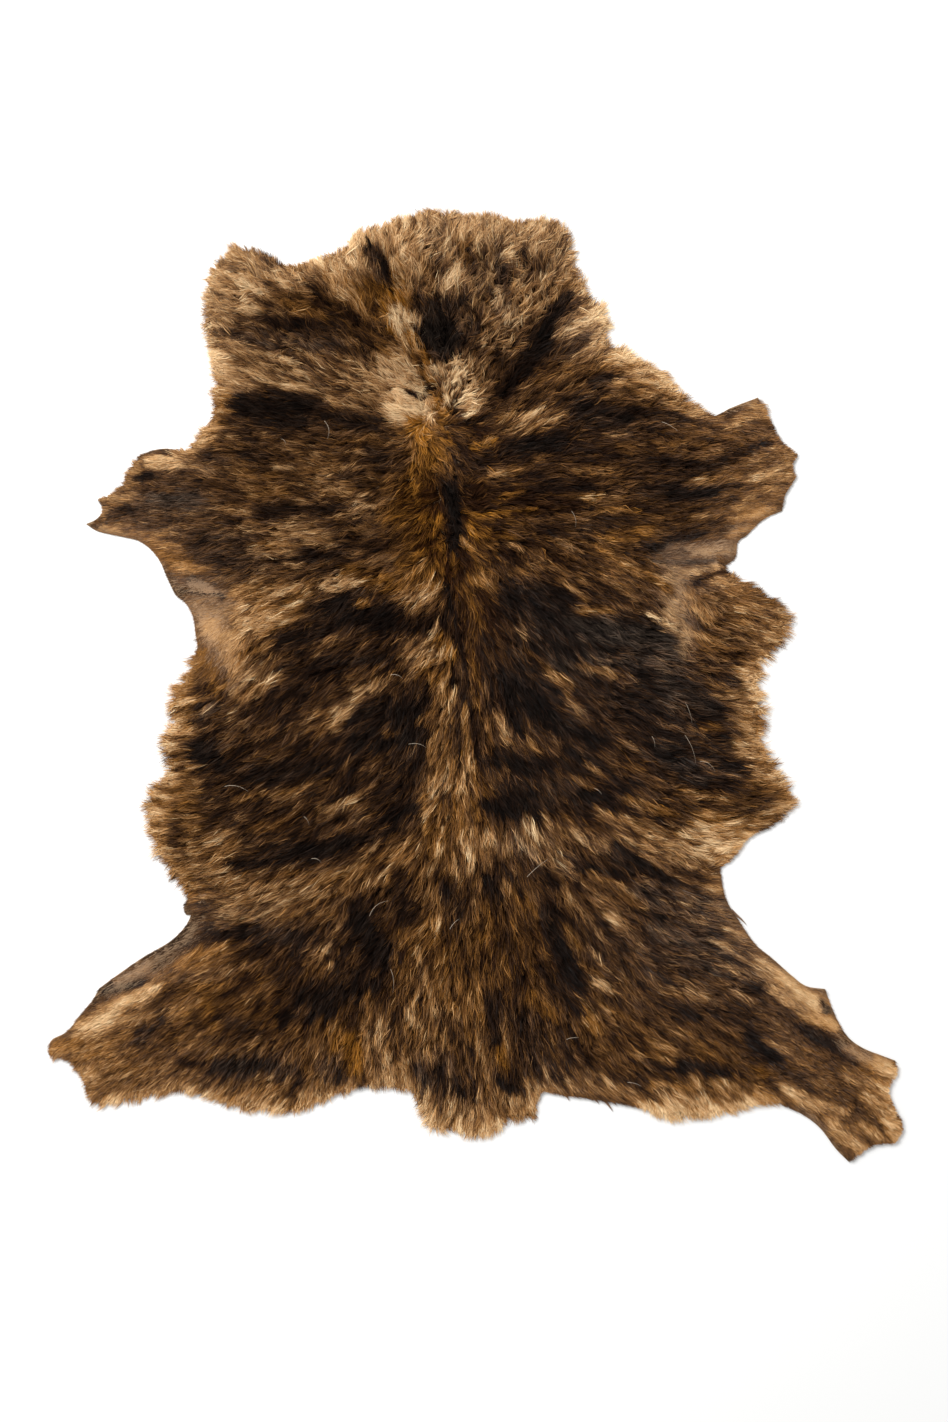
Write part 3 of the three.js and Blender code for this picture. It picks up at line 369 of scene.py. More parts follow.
    (420, 500, 438, 560, 32, 8, 80), (470, 500, 480, 640, 24, 12, 50), (450, 490, 458, 540, 9, 2, -10),
    (398, 516, 436, 524, 6, 24, 100), (468, 518, 478, 540, 5, 28, 100), (396, 500, 430, 500, 3, 22, 90),
    (474, 530, 492, 536, 4, 36, 80), (430, 534, 444, 560, 5, 16, 90), (448, 540, 454, 560, 6, 4, 0),
    (400, 560, 420, 556, 4, 26, 80), (436, 564, 444, 574, 4, 26, 80), (466, 544, 482, 556, 4, 46, 50),
    (468, 578, 496, 590, 5, 50, 40), (488, 588, 500, 602, 4, 46, 40), (452, 562, 456, 600, 4, 20, 80),
    (446, 584, 452, 620, 5, 5, 0), (462, 590, 480, 620, 4, 24, 60), (440, 640, 452, 662, 6, 34, 70),
    (474, 610, 490, 640, 4, 24, 60), (520, 622, 526, 640, 3.5, 56, 10), (456, 636, 462, 660, 5, 8, 20),
    (470, 650, 480, 690, 5, 22, 60), (426, 668, 448, 684, 10, 56, 50), (446, 684, 452, 700, 6, 60, 40),
    (430, 712, 446, 696, 6, 56, 30), (456, 680, 468, 712, 6, 10, 10), (474, 690, 480, 716, 4, 36, 40),
    (440, 716, 448, 740, 6, 50, 25), (454, 716, 460, 740, 4, 12, 10), (464, 710, 468, 750, 4, 42, 40),
    (432, 740, 440, 770, 8, 50, 30), (446, 744, 452, 776, 6, 60, 35), (474, 716, 480, 760, 5, 12, 20),
    (486, 716, 490, 750, 4, 34, 30), (466, 756, 476, 776, 6, 50, 40), (434, 776, 426, 800, 7, 56, 30),
    (450, 780, 456, 800, 6, 52, 35), (476, 780, 490, 794, 6, 38, 50), (424, 796, 426, 812, 5, 46, 40),
    (436, 806, 446, 820, 7, 30, 40), (456, 804, 462, 836, 8, 26, 50), (474, 800, 480, 820, 6, 40, 60),
    (428, 820, 438, 850, 8, 60, 50), (444, 836, 452, 856, 6, 30, 40), (474, 826, 484, 840, 5, 66, 30),
    (464, 846, 470, 868, 5, 70, 25), (478, 848, 486, 866, 5, 50, 20), (488, 836, 498, 850, 5, 68, 20),
    (452, 866, 462, 884, 5, 58, 30), (418, 846, 404, 862, 5, 50, 30), (499, 816, 503, 836, 5, 16, 20),
    (492, 854, 500, 870, 5, 28, 20), (396, 880, 408, 930, 11, 6, 15), (444, 884, 458, 916, 8, 8, 5),
    (486, 876, 498, 896, 7, 8, 5), (426, 866, 436, 896, 6, 40, 30),
    # right of the shoulders
    (508, 432, 546, 408, 6, 62, 20), (530, 434, 568, 412, 5, 56, 25), (502, 420, 516, 410, 5, 50, 30),
    (580, 408, 624, 426, 14, 12, 0), (512, 448, 566, 444, 10, 5, 0), (644, 388, 684, 404, 9, 55, 30),
    (494, 474, 530, 468, 4, 42, 30), (534, 458, 548, 456, 3, 42, 30), (607, 434, 626, 434, 4, 50, 10),
    (640, 420, 680, 422, 8, 26, 10), (660, 446, 684, 442, 4, 46, 30), (574, 470, 612, 470, 4, 48, 30),
    (540, 488, 620, 490, 8, 10, 10), (588, 500, 602, 496, 5, 50, 65), (598, 510, 634, 510, 4, 50, 50),
    (500, 502, 570, 504, 12, 5, 40), (478, 516, 506, 514, 4, 36, 90), (512, 512, 536, 510, 3, 22, 70),
    (512, 546, 526, 552, 4, 44, 20), (484, 534, 510, 536, 4, 34, 70), (500, 500, 516, 492, 4, 34, 80),
    (640, 464, 690, 462, 9, 13, 10), (640, 494, 676, 490, 9, 16, 10), (536, 530, 570, 530, 7, 18, 20),
    (506, 524, 524, 520, 6, 26, 40), (610, 450, 640, 446, 5, 30, 30), (584, 530, 606, 522, 6, 20, 10),
    # right foreleg
    (718, 412, 750, 404, 7, 28, 20), (758, 404, 770, 416, 6, 60, 20), (728, 428, 742, 424, 4, 60, 20),
    (700, 420, 722, 424, 6, 36, 20), (756, 464, 776, 468, 8, 70, 15), (716, 486, 744, 484, 7, 54, 20),
    (686, 474, 764, 446, 7, 14, 10), (700, 446, 740, 436, 5, 38, 30), (772, 448, 794, 454, 5, 50, 20),
    (698, 480, 738, 476, 4, 62, 30), (742, 474, 788, 462, 6, 50, 15), (672, 494, 736, 492, 9, 5, 0),
    (744, 494, 782, 488, 8, 50, 20), (734, 516, 768, 512, 8, 62, 30), (700, 514, 730, 512, 6, 44, 20),
    (668, 540, 706, 534, 4, 10, 10), (648, 548, 668, 546, 4, 7, 0), (616, 538, 650, 530, 8, 36, 60),
    (664, 520, 700, 522, 5, 30, 30),
    # right armpit and chest
    (672, 552, 734, 549, 9, 62, -15), (652, 556, 684, 552, 5, 36, 0), (672, 576, 680, 650, 17, 68, -15),
    (666, 620, 684, 634, 9, 66, 0), (686, 573, 716, 566, 6, 72, -5), (694, 600, 710, 612, 10, 66, 20),
    (700, 606, 718, 618, 9, 62, 20), (700, 592, 724, 584, 7, 54, 10), (660, 563, 716, 561, 2.4, 36, -20),
    (738, 590, 766, 602, 9, 50, 30), (766, 616, 780, 628, 8, 48, 30), (738, 624, 748, 622, 5, 56, 35),
    (704, 638, 726, 654, 6, 54, 30), (712, 600, 740, 612, 8, 36, 30), (700, 650, 752, 656, 8, 32, 30),
    (720, 620, 736, 636, 8, 28, 20), (680, 690, 712, 706, 10, 14, -10), (718, 690, 744, 704, 10, 56, 20),
    (744, 672, 762, 706, 10, 78, 45), (702, 728, 717, 728, 5, 38, 50), (722, 720, 742, 728, 5, 24, 0),
    (746, 722, 768, 762, 14, 68, 40), (700, 668, 730, 672, 6, 30, 20), (762, 640, 772, 650, 7, 50, 30),
    # right side
    (560, 628, 672, 640, 14, 12, -30), (560, 664, 670, 658, 9, 17, -20), (508, 598, 566, 600, 15, 5, 0),
    (566, 545, 598, 570, 4, 46, 10), (601, 549, 642, 575, 4, 46, 40), (607, 576, 632, 600, 4, 44, 20),
    (559, 580, 582, 597, 4, 50, 30), (648, 574, 668, 590, 6, 44, 40), (582, 612, 612, 612, 4, 42, 50),
    (512, 572, 536, 574, 4, 36, 30), (524, 650, 556, 676, 4, 32, 30), (490, 640, 508, 664, 6, 10, 30),
    (540, 624, 572, 634, 7, 5, 0), (553, 624, 565, 652, 9, 5, 0), (548, 674, 572, 686, 5, 44, 30),
    (564, 692, 580, 710, 4, 58, 20), (582, 666, 628, 680, 6, 42, 20), (604, 660, 634, 656, 3, 34, 0),
    (508, 690, 546, 710, 17, 2, 0), (495, 712, 507, 741, 4, 62, 20), (522, 736, 542, 752, 5, 40, 30),
    (619, 741, 632, 750, 4, 50, 10), (510, 716, 524, 738, 6, 4, 0), (556, 726, 600, 740, 11, 12, 0),
    (494, 762, 540, 768, 10, 6, 0), (488, 806, 514, 816, 10, 0, 0), (560, 790, 606, 800, 9, 10, 0),
    (520, 790, 548, 800, 9, 10, 0), (570, 752, 600, 766, 7, 7, 0), (590, 768, 606, 776, 3, 42, 30),
    (579, 778, 592, 788, 4, 48, 30), (622, 766, 646, 770, 5, 20, 30), (626, 782, 644, 784, 4, 8, 0),
    (622, 794, 642, 804, 4, 58, 40), (646, 806, 672, 814, 5, 46, 50), (560, 816, 598, 824, 5, 30, 30),
    (600, 812, 640, 824, 5, 38, 30), (660, 750, 700, 776, 12, 14, -10), (510, 796, 536, 816, 11, 4, 0),
    (526, 826, 540, 838, 6, 90, 5), (544, 822, 562, 834, 5, 54, 20), (516, 840, 536, 862, 7, 56, -20),
    (552, 842, 560, 860, 5, 56, 0), (582, 842, 602, 850, 4, 64, 10), (600, 828, 636, 848, 5, 50, 20),
    (640, 852, 678, 878, 4, 60, 20), (634, 824, 670, 842, 9, 74, 25), (596, 804, 616, 812, 5, 16, 20),
    (614, 847, 676, 884, 6, 5, 0), (610, 850, 632, 870, 7, 16, 0), (572, 862, 600, 872, 8, 20, 0),
    # right flank
    (704, 820, 740, 826, 11, 66, 60), (684, 842, 716, 856, 11, 86, 15), (724, 850, 750, 838, 9, 84, 40),
    (708, 874, 718, 890, 8, 50, 20), (744, 782, 776, 790, 9, 42, 40), (706, 770, 744, 772, 8, 18, 0),
    (764, 812, 786, 808, 6, 56, 30), (680, 794, 720, 796, 7, 36, 30), (724, 800, 760, 806, 6, 40, 30),
    (702, 866, 718, 872, 5, 36, 20),
    # loin and rump
    (584, 876, 624, 882, 4, 46, 30), (622, 890, 640, 902, 4, 54, 40), (604, 908, 616, 922, 6, 74, 20),
    (614, 916, 628, 926, 4, 60, 20), (594, 906, 606, 914, 4, 60, 30), (560, 884, 574, 904, 5, 52, 20),
    (532, 866, 552, 884, 7, 24, 10), (512, 890, 522, 908, 5, 40, 50), (476, 926, 490, 948, 6, 34, 50),
    (500, 866, 512, 884, 7, 10, 10), (412, 984, 420, 1056, 9, 56, 25), (528, 904, 536, 912, 4, 44, 60),
    (548, 910, 572, 980, 11, 10, 5), (502, 936, 524, 990, 11, 10, 30), (564, 924, 578, 950, 5, 42, 40),
    (580, 962, 600, 974, 4, 46, 40), (592, 982, 614, 989, 5, 86, 15), (584, 938, 594, 952, 5, 14, 10),
    (390, 924, 404, 940, 7, 16, 40), (396, 960, 404, 976, 6, 40, 35), (418, 956, 426, 980, 5, 66, 20),
    (430, 928, 440, 960, 7, 42, 50), (420, 990, 432, 1012, 7, 54, 25), (440, 984, 454, 1012, 6, 50, 45),
    (438, 966, 446, 980, 5, 50, 40), (452, 900, 458, 930, 4, 30, 20), (464, 932, 476, 980, 7, 30, 40),
    (484, 904, 494, 930, 6, 36, 50), (458, 980, 470, 1020, 6, 34, 40), (476, 990, 484, 1024, 5, 40, 50),
    (490, 1000, 498, 1040, 7, 8, 10), (500, 960, 508, 980, 5, 22, 45), (530, 996, 552, 1016, 6, 28, 70),
    (522, 1020, 544, 1068, 11, 10, 10), (416, 1030, 448, 1044, 7, 30, 30), (466, 1030, 476, 1040, 4, 30, 60),
    (442, 1030, 466, 1046, 6, 14, 20),
    # tail
    (418, 1064, 430, 1090, 7, 24, -10), (442, 1066, 454, 1090, 10, 7, -10), (482, 1036, 486, 1106, 6, 60, 30),
    (468, 1060, 472, 1100, 4, 32, 20), (500, 1052, 505, 1070, 5, 18, 95), (500, 1078, 516, 1096, 8, 18, 0),
    (424, 1116, 500, 1120, 10, 62, 30), (498, 1110, 534, 1110, 9, 46, 30), (526, 1080, 534, 1100, 5, 42, 30),
    # right thigh
    (640, 894, 724, 912, 15, 41, -10), (660, 930, 740, 948, 16, 34, -10), (704, 908, 722, 914, 4, 56, 10),
    (736, 930, 764, 982, 12, 48, 0), (716, 942, 732, 949, 3, 70, 10), (676, 924, 700, 930, 3, 42, 0),
    (690, 960, 730, 970, 8, 28, -10), (662, 990, 706, 1000, 4, 46, 30), (664, 900, 690, 906, 3, 44, 10),
    (646, 950, 676, 962, 7, 40, 0), (652, 974, 672, 984, 6, 16, 0), (728, 974, 764, 988, 6, 26, 0),
    (760, 962, 792, 982, 9, 66, 0), (586, 1014, 602, 1040, 7, 52, 60), (632, 1034, 672, 1050, 5, 52, 40),
    (676, 1030, 700, 1040, 4, 52, 30), (640, 1000, 700, 1012, 7, 20, 10), (690, 1006, 740, 1018, 6, 18, 10),
    (650, 1060, 720, 1072, 7, 7, 0), (750, 1036, 774, 1054, 9, 3, 0), (744, 998, 780, 1004, 4, 42, 20),
    (764, 1040, 790, 1054, 4, 46, 10), (698, 1048, 716, 1056, 5, 42, 50), (756, 1068, 772, 1080, 6, 34, 70),
    (558, 990, 580, 1010, 8, 16, 20), (608, 1046, 640, 1060, 6, 28, 30), (710, 1028, 740, 1040, 6, 26, 30),
    (556, 1030, 572, 1052, 7, 18, 20), (770, 1008, 796, 1018, 6, 22, 10), (610, 1010, 640, 1024, 6, 36, 40),
    # right breech and the cut edge beside it
    (550, 1078, 580, 1086, 8, 48, 15), (576, 1082, 634, 1094, 8, 50, 25), (648, 1111, 750, 1105, 12, 80, 45),
    (650, 1086, 740, 1086, 6, 50, 40), (770, 1084, 790, 1094, 8, 14, 20),
    # right hind leg
    (782, 986, 824, 1008, 11, 86, 15), (800, 1014, 836, 1026, 7, 72, 35), (824, 1004, 829, 1014, 4, 8, 0),
    (802, 1030, 856, 1058, 8, 8, 0), (864, 1058, 888, 1064, 6, 56, 40), (866, 1074, 884, 1084, 6, 34, 40),
    (888, 1092, 895, 1138, 8, 80, 45), (882, 1066, 896, 1074, 8, 72, 40), (812, 1088, 860, 1118, 7, 32, 20),
    (790, 1092, 846, 1114, 6, 58, 20), (830, 1070, 870, 1092, 5, 30, 20), (866, 1096, 880, 1110, 7, 60, 30),
    (832, 1126, 862, 1150, 9, 70, 25), (864, 1126, 880, 1138, 7, 64, 30), (802, 1108, 830, 1134, 4, 44, -10),
    (780, 1068, 808, 1080, 5, 24, 10),
    # small patches of the neck
    (548, 286, 580, 270, 6, 62, 10), (598, 318, 614, 324, 9, 94, 0), (588, 350, 610, 352, 7, 42, 10),
    (566, 226, 570, 238, 7, 80, 5), (392, 316, 412, 322, 8, 96, 10), (524, 322, 536, 314, 6, 72, 10),
    (472, 318, 482, 322, 5, 52, 10), (246, 290, 256, 308, 9, 84, 10), (240, 320, 258, 330, 6, 42, 10),
    (270, 340, 292, 346, 4, 58, 5), (268, 364, 292, 374, 4, 54, 10), (380, 348, 390, 356, 5, 30, 40),
    (302, 370, 320, 380, 5, 34, 10), (218, 338, 230, 350, 6, 44, 10), (214, 284, 222, 296, 6, 50, 5),
    (316, 257, 338, 268, 8, 74, 10), (366, 252, 380, 278, 4, 16, 5), (397, 218, 401, 230, 5, 50, 10),
    (426, 226, 430, 246, 4, 40, 0), (574, 376, 590, 372, 5, 44, 30), (604, 371, 624, 367, 6, 62, 30),
    (626, 388, 648, 398, 7, 52, 30), (664, 384, 688, 397, 8, 84, 25), (484, 340, 500, 352, 5, 60, 10),
    (362, 292, 376, 314, 6, 22, 50), (298, 302, 318, 314, 8, 20, 40), (330, 276, 344, 292, 8, 56, 30),
    (582, 292, 596, 302, 7, 80, 5), (294, 262, 312, 269, 7, 48, 10), (742, 418, 768, 411, 6, 62, 20),
    (522, 236, 540, 250, 8, 70, 0), (416, 222, 420, 244, 6, 72, 10), (362, 240, 376, 229, 7, 80, 10),
    (452, 222, 462, 234, 6, 72, 5), (482, 276, 488, 292, 4, 36, 0), (474, 300, 482, 318, 5, 54, 10),
    (397, 356, 404, 368, 7, 82, 15), (434, 412, 446, 424, 5, 30, 60), (362, 393, 378, 404, 5, 44, 20),
    (632, 360, 648, 366, 6, 70, 25), (640, 401, 664, 404, 6, 50, 20),
    # small patches of the shoulders and forelegs
    (204, 410, 224, 416, 6, 52, 30), (150, 462, 174, 465, 7, 80, 5), (98, 513, 128, 497, 5, 56, 10),
    (238, 424, 262, 466, 9, 20, 10), (298, 588, 316, 582, 6, 56, 30), (334, 588, 354, 580, 7, 80, 10),
    (128, 530, 146, 546, 6, 46, 15), (304, 480, 326, 474, 5, 52, 20), (336, 453, 358, 450, 5, 50, 20),
    (410, 480, 418, 500, 5, 42, 80), (294, 526, 330, 544, 9, 66, 15), (350, 533, 374, 526, 5, 42, 20),
    (386, 550, 404, 556, 6, 12, 40), (396, 512, 410, 520, 5, 20, 60), (398, 577, 420, 566, 6, 62, 40),
    (370, 503, 392, 500, 4, 46, 20), (222, 508, 240, 512, 5, 50, 20), (570, 444, 584, 452, 8, 10, 10),
    (690, 410, 700, 414, 5, 60, 20), (760, 409, 772, 408, 5, 60, 20), (724, 494, 746, 488, 5, 44, 20),
    (758, 476, 776, 472, 6, 74, 15), (732, 534, 748, 528, 6, 62, 20), (586, 560, 606, 572, 5, 40, 20),
    # small patches of the sides
    (240, 606, 245, 640, 7, 74, 20), (258, 598, 274, 602, 5, 50, 30), (276, 612, 298, 614, 5, 42, 35),
    (180, 754, 195, 788, 8, 42, 30), (184, 818, 196, 832, 7, 50, 30), (226, 850, 238, 824, 8, 38, 30),
    (186, 714, 196, 700, 6, 42, 35), (336, 728, 346, 712, 6, 62, 20), (350, 678, 404, 664, 7, 26, 20),
    (452, 770, 464, 800, 8, 56, 35), (420, 721, 440, 726, 6, 44, 30), (400, 838, 410, 850, 6, 24, 30),
    (370, 874, 390, 880, 5, 50, 30), (222, 922, 268, 905, 9, 50, 10), (282, 893, 304, 887, 6, 42, 20),
    (300, 909, 318, 900, 5, 50, 30), (486, 640, 496, 700, 7, 6, 20), (640, 607, 660, 608, 6, 16, 10),
    (668, 620, 684, 640, 9, 76, -5), (662, 664, 674, 706, 11, 28, -15), (710, 600, 722, 610, 6, 62, 15),
    # The near-black stroke from (689, 586) to (728, 570) is painted shadow in the slit where the chest hair
    # folds over the right armpit.
    (733, 592, 748, 612, 5, 38, 30), (689, 586, 728, 570, 3, 4, 40), (258, 668, 288, 656, 6, 50, 20),
    (230, 822, 262, 846, 9, 22, 10), (276, 860, 330, 852, 8, 5, 0), (470, 826, 482, 846, 5, 60, 30),
    (438, 690, 450, 722, 6, 58, 30), (434, 752, 446, 786, 6, 58, 30), (708, 684, 722, 692, 5, 30, 20),
    (744, 700, 758, 718, 7, 46, 30), (738, 744, 756, 768, 8, 68, 30), (628, 802, 648, 808, 5, 28, 30),
    (678, 834, 692, 842, 6, 38, 30), (704, 828, 716, 842, 7, 84, 45), (727, 818, 740, 830, 5, 46, 40),
    (712, 852, 722, 862, 6, 56, 30), (636, 836, 656, 850, 5, 72, 20), (670, 854, 700, 868, 6, 54, 20),
    (778, 802, 792, 808, 4, 46, 40), (746, 821, 766, 818, 7, 46, 40), (544, 842, 566, 870, 8, 56, 10),
    (500, 846, 526, 856, 6, 46, 10), (582, 838, 604, 846, 6, 60, 10), (434, 816, 442, 832, 6, 52, 40),
    # small patches of the loin, the thighs and the tail
    (618, 893, 640, 904, 5, 60, 30), (592, 896, 602, 906, 5, 26, 20), (720, 937, 740, 946, 5, 32, 0),
    (772, 984, 788, 992, 6, 60, 10), (728, 966, 752, 976, 6, 48, 0), (758, 1004, 798, 1008, 6, 42, 10),
    (850, 1049, 868, 1060, 7, 60, 0), (846, 1078, 876, 1084, 6, 54, 20), (888, 1066, 896, 1074, 5, 78, 40),
    (886, 1096, 892, 1114, 6, 66, 30), (762, 1096, 778, 1105, 6, 56, 40), (744, 1080, 764, 1088, 5, 44, 40),
    (870, 1098, 884, 1112, 7, 68, 30), (886, 1126, 898, 1136, 6, 80, 40), (786, 1000, 802, 1010, 7, 68, 10),
    (590, 992, 602, 1010, 7, 18, 30), (540, 966, 556, 986, 6, 6, 20), (440, 970, 450, 990, 5, 30, 30),
    (616, 984, 650, 996, 9, 34, 20), (696, 990, 764, 1002, 8, 40, 10), (780, 1028, 800, 1040, 8, 42, 10),
    (518, 1114, 538, 1121, 8, 38, 30), (134, 1012, 150, 1020, 7, 42, 20), (90, 1076, 104, 1090, 7, 60, 30),
    (116, 1104, 152, 1095, 7, 84, 30), (374, 1004, 386, 1016, 5, 20, 30), (350, 1044, 358, 1064, 6, 26, 90),
    (680, 1094, 698, 1100, 5, 84, 40), (640, 1052, 670, 1060, 5, 52, 40), (594, 1042, 638, 1038, 9, 20, 30),
    (540, 1056, 558, 1078, 7, 10, 10), (572, 1068, 598, 1077, 7, 46, 20), (436, 1100, 474, 1106, 11, 54, 20),
    (484, 1096, 536, 1102, 10, 60, 25), (434, 1124, 448, 1130, 7, 76, 30), (494, 1121, 508, 1127, 7, 80, 30),
    (540, 1086, 592, 1086, 6, 58, 15), (370, 1044, 374, 1088, 7, 66, 25), (310, 1086, 328, 1090, 6, 38, 30),
    (264, 1108, 292, 1108, 6, 84, 30), (188, 1088, 206, 1094, 6, 74, 30), (130, 1099, 172, 1088, 6, 62, 25),
    (98, 1094, 118, 1086, 7, 42, 25), (304, 1046, 312, 1076, 6, 44, 30), (112, 982, 146, 969, 5, 56, -10),
    (150, 979, 232, 974, 7, 44, 15), (412, 1022, 424, 1034, 6, 56, 30), (400, 942, 420, 931, 6, 44, 40),
    (420, 978, 430, 996, 6, 62, 30), (336, 962, 352, 972, 6, 16, 10), (268, 952, 282, 976, 6, 10, 20),
    (438, 1060, 448, 1080, 7, 30, 10), (290, 996, 302, 1012, 6, 30, 20), (184, 1020, 196, 1030, 6, 50, 30),
    (798, 1098, 820, 1106, 7, 74, 20),
])

# Single hairs that lie across the coat, with how far each bows sideways.
STRAYS = table(["across", "along", "to_across", "to_along", "bow"], [
    (370, 915, 389, 900, 4), (226, 786, 249, 791, 3), (527, 876, 548, 858, 1), (684, 735, 695, 763, 2),
    (699, 761, 714, 771, 3), (325, 422, 328, 440, 3), (391, 968, 393, 991, 2), (391, 675, 403, 679, 2),
    (571, 512, 575, 528, 2), (661, 423, 677, 432, 1), (409, 744, 426, 747, 2), (305, 816, 310, 824, 1),
    (312, 858, 322, 862, 2), (684, 702, 691, 723, 1), (651, 736, 654, 747, 1), (627, 1081, 641, 1085, 1),
    (450, 928, 459, 918, 1), (594, 788, 601, 794, 1), (282, 440, 286, 447, 2), (566, 1038, 578, 1036, 1),
])

# Shreds of leather left by the knife: thin points that stand out from a cut edge.
SHREDS = table(["across", "along", "to_across", "to_along", "width"], [
    (731, 910, 747, 926, 3), (562, 1090, 569, 1101, 4), (588, 1093, 599, 1104, 5), (600, 1095, 613, 1112, 4),
    (606, 1096, 617, 1106, 3), (92, 1004, 76, 1019, 4),
])

# The coat is made in these parts, each of the hairs that are nearest to its middle.
COAT_PARTS = [
    ("coat_neck", 420, 320), ("coat_left_shoulder", 270, 490), ("coat_right_shoulder", 620, 490),
    ("coat_left_side", 310, 700), ("coat_right_side", 600, 700), ("coat_left_flank", 300, 870),
    ("coat_right_flank", 620, 880), ("coat_left_thigh", 260, 1040), ("coat_rump", 450, 1030),
    ("coat_right_thigh", 700, 1050),
]


# Charts of the hide

FINE = 1.2 * MM  # pitch of the charts of the coat's colour
BROAD = 3.0 * MM  # pitch of the others
CHART_HALF_X = 0.456
CHART_HALF_Y = 0.51

RIM_STEP = 5  # millimetres between the points that a curved rim is worked out at
RIM_BLEND = 4 * MM
RIM_WIDTH = 42 * MM  # how far in from its rim the coat reaches its full depth
EDGE_COAT = 2.6 * MM
LEAST_COAT = 2 * MM
SHAGGY_COAT = 16  # millimetres of depth from which the coat is as shaggy as it gets
CREASE_FADE = 14 * MM
CREASE_LOSS = 0.7  # share of its height that a crease loses by its far end

GROUND_TONE = 0.28  # tone and warmth of coat that no marking covers
GROUND_WARMTH = 0.15
MARK_EDGE = 2.6  # how abruptly a marking ends
MARK_FADE = 2.2  # half widths from its middle by which a marking has faded out
LEAST_ROOM = 0.35  # how much the brindle's streaks still show on near-black and cream

LONG_REACH = 9 * MM  # reach from which the leather and the roots of the hair have their full inset
PULL_REACH = 7 * MM  # reach from which hair at the rim turns fully outwards
EDGE_ROOM = 0.7  # share of their pitch that the leather's inner points keep from its edge
EDGE_DROP = 0.35  # share of its thickness that the leather's haired side drops by at its edge
LOCK_JITTER = 0.42  # share of their pitch that locks may be out of line
LEAST_INLAND = 0.6 * MM  # how far past the inset the outermost hairs are rooted

TUFT_TURN = 0.22  # how far the tufts of loose hair turn from their way out, in radians
TUFT_REACH = 0.6  # share of the reach that a middling tuft's longest hair has
TUFT_SPREAD = 0.4  # how much that share differs from tuft to tuft
HAIR_SPREAD = 1.1  # how much it differs within a tuft

STRAY_RISE = 1.5 * MM  # how high a single hair arches over the coat
STRAY_WIDTH = 0.17 * MM


def raster(pitch):
    """The places that a chart of this pitch holds a value for."""
    columns = np.arange(-CHART_HALF_X, CHART_HALF_X, pitch)
    rows = np.arange(-CHART_HALF_Y, CHART_HALF_Y, pitch)
    return np.meshgrid(columns, rows)


class Chart:
    """A value for each place on the hide, held on an even raster and read between its points."""

    def __init__(self, values, pitch):
        self.values = np.asarray(values, dtype=np.float32)
        self.pitch = pitch

    def at(self, x, y):
        rows, columns = self.values.shape
        column = np.clip((x + CHART_HALF_X) / self.pitch, 0, columns - 1.001)
        row = np.clip((y + CHART_HALF_Y) / self.pitch, 0, rows - 1.001)
        c, r = column.astype(np.int32), row.astype(np.int32)
        u, v = column - c, row - r
        near = self.values[r, c] * (1 - u) + self.values[r, c + 1] * u
        far = self.values[r + 1, c] * (1 - u) + self.values[r + 1, c + 1] * u
        return near * (1 - v) + far * v


def smooth(t):
    """From 0 to 1, level at both ends."""
    t = np.clip(t, 0, 1)
    return t * t * (3 - 2 * t)


def smooth_run(points, step):
    """Points about a step apart on a smooth curve through the given ones, or on a line between two."""
    p = np.array(points, dtype=float)
    if len(p) > 2:
        p = np.vstack([2 * p[0] - p[1], p, 2 * p[-1] - p[-2]])
        fine = []
        for a, b, c, d in zip(p, p[1:], p[2:], p[3:]):
            t0 = 0.0
            t1 = t0 + math.sqrt(np.linalg.norm(b - a))
            t2 = t1 + math.sqrt(np.linalg.norm(c - b))
            t3 = t2 + math.sqrt(np.linalg.norm(d - c))
            t = np.linspace(t1, t2, 24, endpoint=False)[:, None]
            ab = ((t1 - t) * a + (t - t0) * b) / (t1 - t0)
            bc = ((t2 - t) * b + (t - t1) * c) / (t2 - t1)
            cd = ((t3 - t) * c + (t - t2) * d) / (t3 - t2)
            abc = ((t2 - t) * ab + (t - t0) * bc) / (t2 - t0)
            bcd = ((t3 - t) * bc + (t - t1) * cd) / (t3 - t1)
            fine.append(((t2 - t) * abc + (t - t1) * bcd) / (t2 - t1))
        p = np.vstack([*fine, p[-2]])
    run = np.concatenate([[0], np.cumsum(np.linalg.norm(np.diff(p, axis=0), axis=1))])
    even = np.linspace(0, run[-1], max(1, math.ceil(run[-1] / step)) + 1)
    return np.column_stack([np.interp(even, run, p[:, 0]), np.interp(even, run, p[:, 1])])


def rim_points():
    """The rim as points clockwise round the hide, each with the reach and bare margin of its stretch."""
    rows = []
    for stretch in RIM:
        for across, along in smooth_run(stretch.points, RIM_STEP)[:-1]:
            rows.append((hide_x(across), hide_y(along), stretch.reach * MM, stretch.bare * MM))
    x, y, reach, bare = np.array(rows).T
    return SimpleNamespace(x=x, y=y, reach=reach, bare=bare)


def from_step(x, y, x0, y0, x1, y1):
    """How far points lie from a straight step, and how far along it that is, from 0 to 1."""
    run_x, run_y = x1 - x0, y1 - y0
    t = np.clip(((x - x0) * run_x + (y - y0) * run_y) / (run_x ** 2 + run_y ** 2 + 1e-12), 0, 1)
    return np.hypot(x - x0 - t * run_x, y - y0 - t * run_y), t


